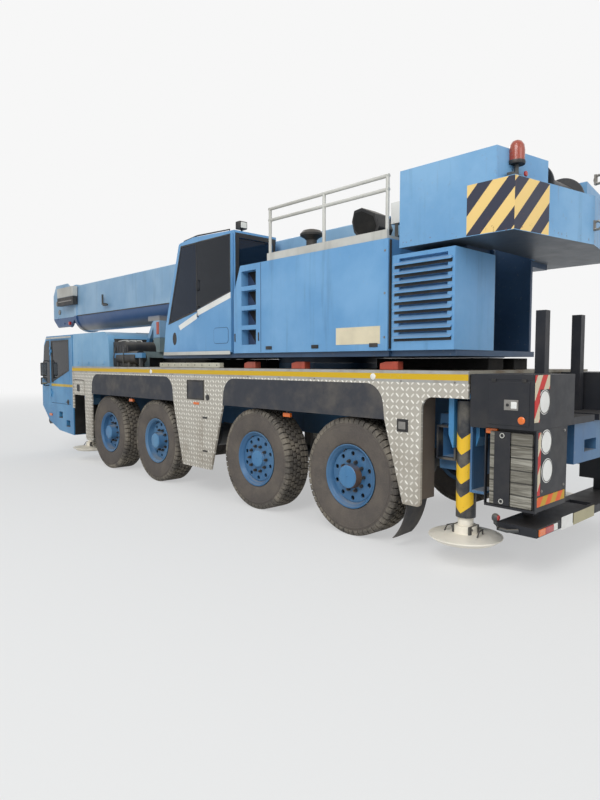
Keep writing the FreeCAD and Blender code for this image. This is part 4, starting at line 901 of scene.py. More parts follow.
CAUTION = Stripes("caution_board", shade(226, 92, 30), shade(196, 152, 30), 0.26, 1.3)
PALE_WOOD = Paint("pale_board", shade(206, 202, 184), shade(176, 168, 148), dust_share=0.4, grime=0.6)
LASHING_RED = Paint("lashing_red", shade(196, 84, 62), shade(178, 96, 78), dust_share=0.2, grime=0.5)
FLAP = Plastic("inner_wall", shade(104, 92, 82), share=0.4, roughness=0.8)
FLAP_DARK = Plastic("mud_flap", shade(72, 72, 74), share=0.45, roughness=0.85)
# Near black: soot in the exhaust's mouth, and painted shade in dark gaps and recesses.
SOOT_AND_SHADE = Plastic("soot_and_shade", shade(16, 16, 16), share=0.1, roughness=0.9)
MIRROR = Bare("mirror_pane", shade(190, 198, 204), 0.12, 1.0, share=0.1)


class Position(Enum):
    """Where a wheel stands along the carrier."""

    FIRST = 1
    SECOND = 2
    THIRD = 3
    FOURTH = 4


def dress_frame(shop: Workshop) -> None:
    """Give every node of the frame that shows its finish."""
    plain = {
        "chassis_frame": FRAME_BLUE, "axle_beams": MOTOR, "deck": DECK, "fenders": FENDER,
        "side_panels": CHEQUER, "driver_cab": CAB_BLUE, "driver_cab_glass": CAB_GLASS,
        "driver_cab_interior": SEAT, "hood": HOOD_BLUE, "engine": BLACK, "boom_rest": REST_GREY,
        "rear_body": LOCKER, "timber_blocks": WOOD, "driver_door_left": CAB_BLUE,
        "driver_door_right": CAB_BLUE, "turntable_frame": SHADED_TURNTABLE_BLUE, "crane_cab": BODY_BLUE,
        "crane_cab_glass": CAB_GLASS, "crane_cab_seat": SEAT, "power_housing": BODY_BLUE,
        "guard_rail": RAIL, "counterweight": WEIGHT_BLUE, "hoist_winch": WINCH,
        "crane_cab_door": BODY_BLUE, "boom_base": BOOM_BLUE, "boom_section_1": BOOM_BLUE,
        "boom_section_2": BOOM_BLUE, "boom_section_3": BOOM_BLUE,
        "lift_cylinder_barrel": BOOM_BLUE, "lift_cylinder_rod": CHROME,
    }
    by_prefix = {"tyre_": TYRE, "rim_": RIM_BLUE, "knuckle_": MOTOR, "outrigger_beam_": FRAME_BLUE,
                 "outrigger_jack_": FOOT_CREAM}
    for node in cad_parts:
        finish = plain.get(node) or next(by_prefix[key] for key in by_prefix if node.startswith(key))
        shop.dress(node, finish)


@dataclass(frozen=True)
class WheelShape:
    """How the wheels of one axle differ; distances are inwards from the tyre's outer wall."""

    disc: float
    hub: float
    cap: float
    collar: float
    holes: int = 10
    rusty: bool = False


WHEELS = {
    Position.FIRST: WheelShape(0.120, -0.005, 0.112, 0.128),
    Position.SECOND: WheelShape(0.120, -0.005, 0.112, 0.128),
    Position.THIRD: WheelShape(0.072, 0.042, 0.108, 0.118),
    Position.FOURTH: WheelShape(0.080, -0.020, 0.126, 0.135, rusty=True),
}


@dataclass
class Wheel:
    """One wheel: tyre with its tread blocks, and rim with disc, hub, nuts and hand holes."""

    position: Position
    side: str
    sign: float
    radius: float = 0.665
    width: float = 0.386
    wall: float = 1.334
    blocks: int = 54

    @property
    def name(self) -> str:
        """Return the wheel's name in the frame, such as 2_left."""
        return f"{self.position.value}_{self.side}"

    @property
    def centre(self) -> tuple[float, float, float]:
        """Return the middle of the axle at Y = 0."""
        return (AXLE_X[self.position.value - 1], 0.0, self.radius)

    def turned(self, mesh: Mesh) -> Mesh:
        """Return a mesh of the left wheel on this wheel's own side."""
        return mesh if self.sign > 0 else mirrored(mesh)

    def spun(self, level: float, profile: Sequence[tuple[float, float]], steps: int) -> Mesh:
        """Return a profile of (radius, distance out from a level) turned round the axle."""
        return revolve([(radius, level + along) for radius, along in profile], self.centre, "Y", steps)

    def carcass(self) -> Mesh:
        """Return the tyre without its blocks: a bulged wall with two raised rings on each side."""
        middle = self.wall - self.width / 2
        half = [(0.364, 0.150), (0.368, 0.161), (0.378, 0.168), (0.392, 0.171), (0.400, 0.176),
                (0.408, 0.176), (0.416, 0.178), (0.450, 0.186), (0.500, 0.1915), (0.540, 0.192),
                (0.566, 0.190), (0.570, 0.193), (0.580, 0.192), (0.584, 0.187), (0.606, 0.182),
                (0.632, 0.168), (0.641, 0.150), (0.645, 0.100), (0.646, 0.0)]
        outer = [(radius, middle + along) for radius, along in half]
        inner = [(radius, middle - along) for radius, along in half[-2::-1]]
        return revolve(outer + inner, self.centre, "Y", 96)

    def tread(self) -> Mesh:
        """Return the tread: two rows of shoulder lugs and three rows of blocks between, staggered.

        A block is an eight-sided outline stacked at three radii, the last one smaller by the
        chamfer; every row is that block copied round the axle.
        """
        middle, top = self.wall - self.width / 2, self.radius
        pitch = 2.0 * np.pi * top / self.blocks
        corner = np.array([(1.0, 0.55), (0.62, 1.0), (-0.62, 1.0), (-1.0, 0.55),
                           (-1.0, -0.55), (-0.62, -1.0), (0.62, -1.0), (1.0, -0.55)])
        layers = np.array([(1.0, top - 0.026), (1.0, top - 0.005), (0.87, top)])
        faces = grid_faces(3, 8, False, True).tolist() + [[16 + index for index in range(8)]]
        rows = []
        for number, (place, half_x, half_y) in enumerate(((-0.066, 0.031, 0.025), (0.0, 0.029, 0.026),
                                                          (0.066, 0.031, 0.025))):
            flat = layers[:, None, :1] * (corner * np.array([half_x, half_y]))[None, :, :]
            height = np.broadcast_to(layers[:, None, 1:], (3, 8, 1))
            points = np.concatenate([flat, height], axis=2).reshape(-1, 3)
            points = points + np.array([self.centre[0], middle + place, self.radius])
            rows.append(ringed((points, faces), self.centre, self.blocks, (number % 2) * np.pi / self.blocks))
        lug = [(0.103, top - 0.026), (0.103, top - 0.004), (0.110, top), (0.158, top - 0.001),
               (0.172, top - 0.010), (0.188, top - 0.042), (0.186, top - 0.066), (0.176, top - 0.062)]
        for turn, phase in ((1.0, 0.5), (-1.0, 0.0)):
            outline = [(middle + turn * along, self.radius + level) for along, level in lug]
            low, high = self.centre[0] - 0.39 * pitch, self.centre[0] + 0.39 * pitch
            rows.append(ringed(prism(outline, low, high, "X"), self.centre, self.blocks,
                               phase * 2.0 * np.pi / self.blocks))
        return joined(rows)

    def barrel(self) -> Mesh:
        """Return the rim: flanges, well and the dished ring that meets the disc."""
        wall, disc = self.wall, self.wall - WHEELS[self.position].disc
        inner = wall - self.width
        return revolve([
            (0.333, inner + 0.024), (0.362, inner + 0.022), (0.362, inner + 0.036), (0.335, inner + 0.042),
            (0.333, wall - 0.044), (0.350, wall - 0.040), (0.360, wall - 0.034), (0.363, wall - 0.026),
            (0.360, wall - 0.021), (0.352, wall - 0.020), (0.344, wall - 0.025), (0.338, wall - 0.036),
            (0.330, wall - 0.046), (0.322, wall - 0.052), (0.314, min(wall - 0.060, disc + 0.012)),
            (0.310, disc + 0.004), (0.300, disc - 0.012), (0.300, disc - 0.030), (0.308, inner + 0.024)],
            self.centre, "Y", 96)

    def pierced(self, low: float, high: float, at: float, hole: float, count: int, level: float) -> Mesh:
        """Return a flat ring round the axle with round holes, and the holes' walls.

        Each sector is a grid: point(s, t) = circle(s) + t * (outline(s) - circle(s)), where the
        circle is the hole's edge and the outline is the sector's border, both followed by s. Two
        more rows further in make the hole's wall and close the back.
        """
        steps = 7
        half = np.pi / count
        line = np.linspace(-1.0, 1.0, steps)[:-1]
        turn = np.concatenate([line, np.ones(steps - 1), -line, -np.ones(steps - 1)]) * half
        reach = np.concatenate([np.full(steps - 1, 1.0), -line, np.full(steps - 1, -1.0), line])
        reach = (low + high) / 2 + reach * (high - low) / 2
        border = np.stack([reach * np.sin(turn), reach * np.cos(turn)], axis=1)
        spread = border - np.array([0.0, at])
        circle = np.array([0.0, at]) + hole * spread / np.linalg.norm(spread, axis=1)[:, None]
        rows = [(circle, -0.018), (circle, 0.0), ((circle + border) / 2, 0.0), (border, 0.0),
                (border, -0.018)]
        points = np.vstack([np.stack([flat[:, 0], np.full(len(flat), level + depth), flat[:, 1]], axis=1)
                            for flat, depth in rows])
        points = points + np.array(self.centre)
        faces = grid_faces(len(rows), len(border), True, True).tolist()
        return ringed((points, faces), self.centre, count)

    def disc(self) -> Mesh:
        """Return the disc from its edge to the hub, with its hand holes."""
        shape = WHEELS[self.position]
        level = self.wall - shape.disc
        ring = self.spun(level, [(0.302, -0.020), (0.302, -0.006), (0.292, 0.0), (0.288, 0.0),
                                 (0.288, -0.018)], 80)
        plate = self.spun(level, [(0.100, -0.016), (0.100, 0.0), (0.214, 0.0), (0.214, -0.018)], 80)
        holes = self.pierced(0.214, 0.288, 0.252, 0.0265, shape.holes, level)
        return joined([ring, plate, holes])

    def hub(self) -> Mesh:
        """Return the hub's side, from behind the disc to just under its cap."""
        shape = WHEELS[self.position]
        level, end = self.wall - shape.disc, self.wall - shape.hub
        return revolve([(0.050, level - 0.150), (0.134, level - 0.150), (0.134, level + 0.004),
                        (shape.collar + 0.004, level + 0.008), (shape.collar, level + 0.014),
                        (shape.collar - 0.003, end - 0.012), (0.050, end - 0.012)], self.centre, "Y", 64)

    def cap(self) -> Mesh:
        """Return the hub's cap: a slightly domed plate with a rolled edge and its ring of screws."""
        shape = WHEELS[self.position]
        end = self.wall - shape.hub
        face = self.spun(end, [(0.004, -0.014), (shape.cap, -0.014), (shape.cap + 0.002, -0.008),
                               (shape.cap - 0.002, -0.003), (shape.cap - 0.010, -0.001),
                               (shape.cap - 0.030, 0.0), (0.004, 0.002)], 64)
        angle = np.arange(6) * np.pi / 3
        place = self.radius + shape.cap - 0.013
        head = prism(list(zip(self.centre[0] + 0.0055 * np.cos(angle), place + 0.0055 * np.sin(angle))),
                     end - 0.008, end + 0.003)
        return joined([face, ringed(head, self.centre, 8, 0.2)])

    def nuts(self) -> Mesh:
        """Return the ten wheel nuts with washers and stud ends."""
        level = self.wall - WHEELS[self.position].disc
        place = self.radius + 0.1675
        parts = []
        for corners, size, low, high in ((12, 0.022, level, level + 0.006), (6, 0.0185, level, level + 0.030),
                                         (10, 0.0105, level, level + 0.046)):
            angle = np.arange(corners) * 2.0 * np.pi / corners
            parts.append(prism(list(zip(self.centre[0] + size * np.cos(angle), place + size * np.sin(angle))),
                               low, high))
        return ringed(joined(parts), self.centre, 10, 0.31)

    def drum(self) -> Mesh:
        """Return the brake drum that shows dark through the hand holes."""
        level = self.wall - WHEELS[self.position].disc
        return self.spun(level, [(0.140, -0.220), (0.272, -0.220), (0.278, -0.200), (0.278, -0.040),
                                 (0.264, -0.032), (0.140, -0.032)], 48)

    def valve(self) -> Mesh:
        """Return the tyre's valve stem, bent outwards from the disc."""
        level = self.wall - WHEELS[self.position].disc
        x, _, z = self.centre
        return tube([(x + 0.10, level - 0.01, z + 0.285), (x + 0.105, level + 0.02, z + 0.285),
                     (x + 0.10, level + 0.045, z + 0.262)], 0.006, 8)

    def build(self, shop: Workshop) -> None:
        """Add the wheel's pieces to its body, in place of the frame's tyre and rim."""
        body = f"wheel_{self.name}"
        side = HUB_RUST if WHEELS[self.position].rusty else RIM_BLUE
        wall = shop.piece(f"carcass_{self.name}", self.turned(self.carcass()), TYRE, body, smooth=True)
        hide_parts(f"tyre_{self.name}")
        tread = shop.piece(f"tread_{self.name}", self.turned(self.tread()), TREAD, body)
        rim = shop.piece(f"barrel_{self.name}", self.turned(self.barrel()), RIM_BLUE, body, smooth=True)
        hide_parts(f"rim_{self.name}")
        for part, mesh, finish in (("disc", self.disc(), RIM_BLUE), ("cap", self.cap(), HUB_BLUE),
                                   ("hub", self.hub(), side)):
            made = shop.piece(f"{part}_{self.name}", self.turned(mesh), finish, body, smooth=True)
        shop.piece(f"nuts_{self.name}", self.turned(self.nuts()), NUT, body)
        shop.piece(f"drum_{self.name}", self.turned(self.drum()), BLACK, body, smooth=True)
        shop.piece(f"valve_{self.name}", self.turned(self.valve()), BLACK, body, smooth=True)


@dataclass
class Fitter:
    """A part of the crane whose trim rides on one body."""

    shop: Workshop
    body: str = "carrier"

    def add(self, name: str, mesh: Mesh | list[Mesh], finish: Any, bevel: float = 0.0,
            smooth: bool = False, body: str = "") -> None:
        """Add one piece, from one mesh or from a list of them.

        Args:
            name: The piece's name.
            mesh: Its mesh, or the meshes that it joins.
            finish: Its finish.
            bevel: Rounding of its edges.
            smooth: Shade it smooth where edges are shallow.
            body: The body that carries it, if not this part's own.
        """
        whole = joined(mesh) if isinstance(mesh, list) else mesh
        self.shop.piece(name, whole, finish, body or self.body, bevel, smooth)

    def both(self, name: str, mesh: Mesh | list[Mesh], finish: Any, bevel: float = 0.0,
             smooth: bool = False, body: str = "") -> None:
        """Add a piece on the left and its mirror image on the right; the arguments are add's."""
        whole = joined(mesh) if isinstance(mesh, list) else mesh
        for side, sign in SIDES:
            here = whole if sign > 0 else mirrored(whole)
            self.add(f"{name}_{side}", here, finish, bevel, smooth, body)


def button(place: Sequence[float], radius: float, depth: float, axis: str = "Y", steps: int = 24) -> Mesh:
    """Return a low domed disc whose back lies at the place and whose face looks along the axis."""
    sign = math.copysign(1.0, depth)
    return revolve([(CORE, 0.0), (radius, 0.0), (radius, 0.55 * depth), (0.88 * radius, 0.85 * depth),
                    (0.5 * radius, depth), (CORE, depth + 0.0005 * sign)], tuple(place), axis, steps)


def hoop(place: Sequence[float], radius: float, thickness: float, axis: str = "Y", steps: int = 28) -> Mesh:
    """Return a round ring of a round bar about an axis."""
    angle = np.arange(8) * np.pi / 4
    return revolve(list(zip(radius + thickness * np.cos(angle), thickness * np.sin(angle))),
                   tuple(place), axis, steps)


def bolts(places: Sequence[Sequence[float]], radius: float, depth: float, axis: str = "Y") -> Mesh:
    """Return six-sided bolt heads with washers at several places."""
    angle = np.arange(6) * np.pi / 3
    heads = []
    for x, y, z in places:
        across = {"X": (y, z), "Y": (x, z), "Z": (x, y)}[axis]
        start = {"X": x, "Y": y, "Z": z}[axis]
        for size, reach in ((radius * 1.35, depth * 0.25), (radius, depth)):
            outline = list(zip(across[0] + size * np.cos(angle), across[1] + size * np.sin(angle)))
            heads.append(prism(outline, min(start, start + reach), max(start, start + reach), axis))
    return joined(heads)


@dataclass
class RearEnd(Fitter):
    """Lockers, timber racks, marking boards, bare round signs, lamp bar and its marker arms."""

    back: float = -6.572
    side: float = 1.375

    def lockers(self) -> None:
        """Add the locker doors with their latches, hinges and reflectors."""
        side = self.side
        for name, low, high, finish, bevel in (
                ("locker_door", (-6.528, side - 0.002, 1.388), (-6.150, side + 0.006, 1.768),
                 LOCKER, 0.005),
                ("locker_top", (-6.560, side - 0.002, 1.786), (-6.135, side + 0.004, 1.822), LOCKER, 0.003),
                ("locker_latch", (-6.432, side + 0.003, 1.520), (-6.300, side + 0.011, 1.612),
                 STEEL, 0.004),
                ("locker_paddle", (-6.420, side + 0.009, 1.536), (-6.368, side + 0.018, 1.596),
                 WHITE, 0.004)):
            self.both(name, slab(low, high), finish, bevel)
        self.both("locker_lock", button((-6.334, side + 0.010, 1.566), 0.014, 0.006), BLACK)
        hinges = [slab((-6.50 + 0.28 * k, side + 0.002, 1.764), (-6.46 + 0.28 * k, side + 0.012, 1.790))
                  for k in range(2)]
        self.both("locker_hinges", hinges, BLACK, 0.002)
        self.both("locker_reflector", button((-6.463, side + 0.005, 1.437), 0.033, 0.010), AMBER, smooth=True)
        self.both("rack_reflector", slab((-6.216, 1.313, 1.298), (-6.104, 1.334, 1.346)), AMBER, 0.004)

    def racks(self) -> None:
        """Add the strap that holds each stack of timber, with its ring bolts, and the rack's edges."""
        self.both("timber_strap", slab((-6.358, 1.357, 0.672), (-6.208, 1.368, 1.326)), LOCKER, 0.003)
        rings = [hoop((-6.283, 1.372, level), 0.019, 0.0045, "Y") for level in (1.292, 0.706)]
        self.both("timber_rings", rings, RAIL, smooth=True)
        edges = [slab((-6.586, 1.312, 0.642), (-6.110, 1.352, 0.664)),
                 slab((-6.118, 1.314, 0.664), (-6.106, 1.350, 1.296)),
                 slab((-6.586, 1.314, 0.664), (-6.566, 1.350, 1.350))]
        self.both("rack_edges", edges, LOCKER, 0.002)
        plate = slab((self.back - 0.006, 0.745, 0.645), (self.back + 0.010, 1.350, 1.352))
        self.both("rack_back", plate, LOCKER, 0.003)

    def boards(self) -> None:
        """Add the slanted marking boards and the bare round signs on the tail."""
        back = self.back
        corner = prism([(1.372, 1.425), (1.372, 1.828), (1.100, 1.828), (1.100, 1.705), (1.282, 1.705),
                        (1.282, 1.425)], back - 0.005, back + 0.002, "X")
        self.both("board_upper", corner, WARNING, 0.001)
        out, face = back - 0.011, back - 0.005
        self.both("board_lower", slab((out, 1.256, 0.790), (face, 1.346, 1.335)), WARNING, 0.001)
        self.both("board_orange", slab((out, 0.752, 0.690), (face, 1.312, 0.772)), CAUTION, 0.001)
        for number, (y, z) in enumerate(((1.190, 1.595), (1.150, 1.245), (1.118, 0.990))):
            front = back if z > 1.35 else back - 0.006
            self.both(f"sign_{number}", button((front, y, z), 0.108, -0.004, "X", 40), WHITE, smooth=True)
            self.both(f"sign_rim_{number}", hoop((front - 0.003, y, z), 0.098, 0.0035, "X", 40), BLACK)

    def lamps(self) -> None:
        """Add the lamp units, the blank plates and the marker arms at the bar's ends."""
        back = -6.585
        for name, low, high, finish in (("amber", 1.150, 1.272, AMBER), ("red", 0.985, 1.148, RED),
                                        ("clear", 0.905, 0.983, CLEAR)):
            self.both(f"tail_lamp_{name}", slab((back - 0.012, low, 0.430), (back + 0.004, high, 0.490)),
                      finish, 0.004)
        frames = slab((back - 0.004, 0.895, 0.422), (back + 0.004, 1.285, 0.498))
        self.both("tail_lamp_frame", frames, BLACK, 0.002)
        out, face = back - 0.008, back - 0.001
        self.add("square_plate", slab((out, 0.570, 0.400), (face, 0.810, 0.520)), WHITE, 0.003)
        self.add("long_plate", slab((out, 0.050, 0.402), (face, 0.545, 0.514)), PLATE, 0.003)
        arm = tube([(-6.420, 1.296, 0.455), (-6.330, 1.335, 0.442), (-6.262, 1.362, 0.455),
                    (-6.236, 1.368, 0.500), (-6.232, 1.368, 0.535)], 0.017, 12)
        self.both("marker_arm", arm, MOTOR, smooth=True)
        head = revolve([(CORE, -0.030), (0.026, -0.026), (0.036, -0.008), (0.036, 0.010), (0.030, 0.022),
                        (CORE, 0.022)], (-6.236, 1.368, 0.553), "X", 24)
        self.both("marker_head", head, MOTOR, smooth=True)
        self.both("marker_lens", button((-6.262, 1.368, 0.553), 0.024, -0.010, "X"), RED, smooth=True)

    def tail(self) -> None:
        """Add the bolts that hold the rear plates."""
        places = [(self.back - 0.006, y, z) for y in (0.775, 1.220) for z in (0.820, 1.320)]
        self.both("rear_bolts", bolts(places, 0.011, -0.008, "X"), STEEL)

    def build(self) -> None:
        """Add every piece."""
        self.lockers()
        self.racks()
        self.boards()
        self.lamps()
        self.tail()


@dataclass
class CarrierSides(Fitter):
    """Latches, lids, lamps and marks on the alloy side panels, the rails, the deck and the fenders."""

    side: float = 1.375

    def panels(self) -> None:
        """Add the lid with its frame, the latch, the slots, the handle and the reflectors of the panels."""
        side = self.side
        frame_bars = [slab((-1.690, side - 0.002, z), (-1.254, side + 0.012, z + 0.020))
                      for z in (1.394, 1.660)]
        frame_bars += [slab((x, side - 0.002, 1.400), (x + 0.020, side + 0.012, 1.674))
                       for x in (-1.690, -1.274)]
        self.both("lid_frame", frame_bars, BLACK, 0.003)
        self.both("lid", slab((-1.672, side - 0.004, 1.412), (-1.272, side + 0.006, 1.662)), FENDER, 0.004)
        self.both("panel_latch", button((-1.780, side, 1.436), 0.044, 0.010), BLACK, smooth=True)
        slots = [slab((-1.765, side - 0.002, z), (-1.650, side + 0.004, z + 0.028)) for z in (0.645, 1.128)]
        slots += [slab((-5.275, side - 0.002, 1.235), (-5.138, side + 0.008, 1.365))]
        self.both("panel_slots", slots, BLACK, 0.002)
        handle = slab((-5.250, side + 0.006, 1.262), (-5.163, side + 0.016, 1.338))
        self.both("panel_handle", handle, STEEL, 0.004)
        reflector = slab((-1.560, side - 0.001, 1.322), (-1.560 + 0.135, side + 0.010, 1.322 + 0.034))
        self.both("panel_reflectors", reflector, AMBER, 0.003)

    def rails(self) -> None:
        """Add the round marker lamps on the edge rail and the bolts below the stripe."""
        for number, x in enumerate((-4.817, -0.198)):
            self.both(f"rail_lamp_{number}", button((x, self.side, 1.787), 0.034, 0.012), WHITE, smooth=True)
        places = [(float(x), self.side, 1.748) for x in np.arange(-5.8, 2.9, 0.62)]
        self.both("rail_bolts", bolts(places, 0.008, 0.006), STEEL)

    def deck(self) -> None:
        """Add the plank with its bolts, the red lashing brackets on the deck, and the arch lamps with their
        arms.
        """
        plank = slab((-1.915, 1.185, 1.858), (-0.275, 1.262, 1.930))
        self.add("plank", plank, PALE_WOOD, 0.006)
        holes = [button((float(x), 1.262, 1.896), 0.009, 0.003) for x in np.linspace(-1.85, -0.36, 9)]
        self.add("plank_bolts", holes, BLACK)
        brackets = [prism([(x - 0.13, DECK_TOP), (x + 0.11, DECK_TOP), (x + 0.11, 1.925),
                           (x + 0.03, 1.945), (x - 0.13, 1.945)], 1.06, 1.16)
                    for x in (-2.46, -3.42, -4.84)]
        self.both("lashing_brackets", brackets, LASHING_RED, 0.005)
        lamps = [slab((x, 1.283, 1.262), (x + 0.128, 1.322, 1.312)) for x in (-3.457, 0.540)]
        self.both("arch_lamps", lamps, AMBER, 0.004)
        arms = [slab((x + 0.05, 1.293, 1.305), (x + 0.075, 1.310, 1.352)) for x in (-3.457, 0.540)]
        self.both("arch_lamp_arms", arms, BLACK)

    def flaps(self) -> None:
        """Add the inner wall behind the last wheel and the mud flaps, bent along their foot."""
        self.both("inner_wall", slab((-5.400, 1.085, 0.560), (-5.376, 1.335, 1.700)), FLAP, 0.004)
        rows, columns = 12, 5
        level = np.linspace(0.0, 1.0, rows)[:, None] * np.ones((1, columns))
        across = np.ones((rows, 1)) * np.linspace(0.0, 1.0, columns)[None, :]
        x = -5.235 + 0.075 * level + 0.12 * level ** 3 + 0.012 * np.sin(3.1 * across + 2.0 * level)
        front = np.stack([x, 0.965 + 0.36 * across, 0.56 - 0.46 * level], axis=-1).reshape(-1, 3)
        back = front - np.array([0.010, 0.0, 0.0])
        ring = grid_faces(rows, columns)
        size = rows * columns
        edge = np.concatenate([np.arange(columns), np.arange(1, rows) * columns + columns - 1,
                               (rows - 1) * columns + np.arange(columns - 2, -1, -1),
                               np.arange(rows - 2, 0, -1) * columns])
        after = np.roll(edge, -1)
        rim = np.stack([edge, after, after + size, edge + size], axis=1)
        faces = np.vstack([ring, ring[:, ::-1] + size, rim]).tolist()
        self.both("mud_flap", (np.vstack([front, back]), faces), FLAP_DARK, smooth=True)

    def build(self) -> None:
        """Add every piece."""
        self.panels()
        self.rails()
        self.deck()
        self.flaps()


@dataclass
class Outriggers(Fitter):
    """Collars round the jack tubes, side frames, clamps and grips on the round feet."""

    places: tuple[tuple[str, str, float, float], ...] = (
        ("front", "left", 2.5117, 1.0), ("front", "right", 2.7583, -1.0),
        ("rear", "left", -5.8183, 1.0), ("rear", "right", -5.5717, -1.0))

    def collar(self, x: float) -> Mesh:
        """Return the upside-down U on the box's end that the tube stands in."""
        legs = [prism([(x + turn * 0.108, 1.600), (x + turn * 0.168, 1.600), (x + turn * 0.168, 1.240),
                       (x + turn * 0.120, 1.110), (x + turn * 0.108, 1.110)][::int(turn)], 1.052, 1.235)
                for turn in (1, -1)]
        return joined(legs + [slab((x - 0.168, 1.052, 1.592), (x + 0.168, 1.235, 1.640))])

    def cover(self) -> Mesh:
        """Return the alloy plate that closes the side's opening above the jack tube."""
        return prism([(2.374, 1.300), (2.858, 1.300), (2.858, 1.586), (2.446, 1.586), (2.400, 1.566),
                      (2.374, 1.520)], 1.350, 1.370)

    def clamp(self, x: float) -> Mesh:
        """Return the clamp that joins the rod to its foot: ears, cross bolts and two bent grips."""
        ears = [slab((x + low, 1.085, 0.292), (x + low + 0.022, 1.255, 0.372)) for low in (-0.098, 0.076)]
        bars = [tube([(x - 0.115, y, 0.345), (x + 0.115, y, 0.345)], 0.011, 8) for y in (1.105, 1.235)]
        blocks = [slab((x - 0.060, 1.236, 0.296), (x + 0.060, 1.262, 0.350))]
        return joined(ears + bars + blocks)

    def grips(self, x: float) -> Mesh:
        """Return two bent handles on the foot."""
        bars = []
        for turn in (-1.0, 1.0):
            bars.append(tube([(x + turn * 0.155, 1.120, 0.292), (x + turn * 0.155, 1.120, 0.340),
                              (x + turn * 0.175, 1.220, 0.342), (x + turn * 0.178, 1.260, 0.292)], 0.007, 8))
        return joined(bars)

    def build(self) -> None:
        """Add each outrigger's pieces to the carrier and to its own foot."""
        for end, side, x, sign in self.places:
            name = f"{end}_{side}"
            beam, foot = f"outrigger_beam_{name}", f"outrigger_jack_{name}"
            self.shop.dress(beam, JackPaint(f"jack_{name}", SKY, SKY, tube_x=x))
            arm = slab((x - 0.05, 1.255, 1.380), (x + 0.05, 1.353, 1.520))
            slot = slab((2.582, 1.369, 1.368), (2.701, 1.376, 1.504))
            for part, mesh, finish, body, bevel in (
                    ("jack_collar", self.collar(x), CAB_BLUE, "carrier", 0.004),
                    ("foot_clamp", self.clamp(x), MOTOR, foot, 0.003),
                    ("foot_grips", self.grips(x), BLACK, foot, 0.0),
                    ("cover", self.cover(), CHEQUER, beam, 0.002),
                    ("cover_arm", arm, MOTOR, beam, 0.004),
                    ("cover_slot", slot, BLACK, beam, 0.002)):
                if end == "front" or not part.startswith("cover"):
                    here = mesh if sign > 0 else mirrored(mesh)
                    self.add(f"{part}_{name}", here, finish, bevel, part == "foot_grips", body)
        frame_bars = [slab((-5.952, 1.060, 0.722), (-5.930, 1.302, 1.700)),
                      slab((-6.080, 1.060, 0.722), (-5.952, 1.302, 0.750))]
        self.both("rack_frame", frame_bars, FRAME_BLUE, 0.004)


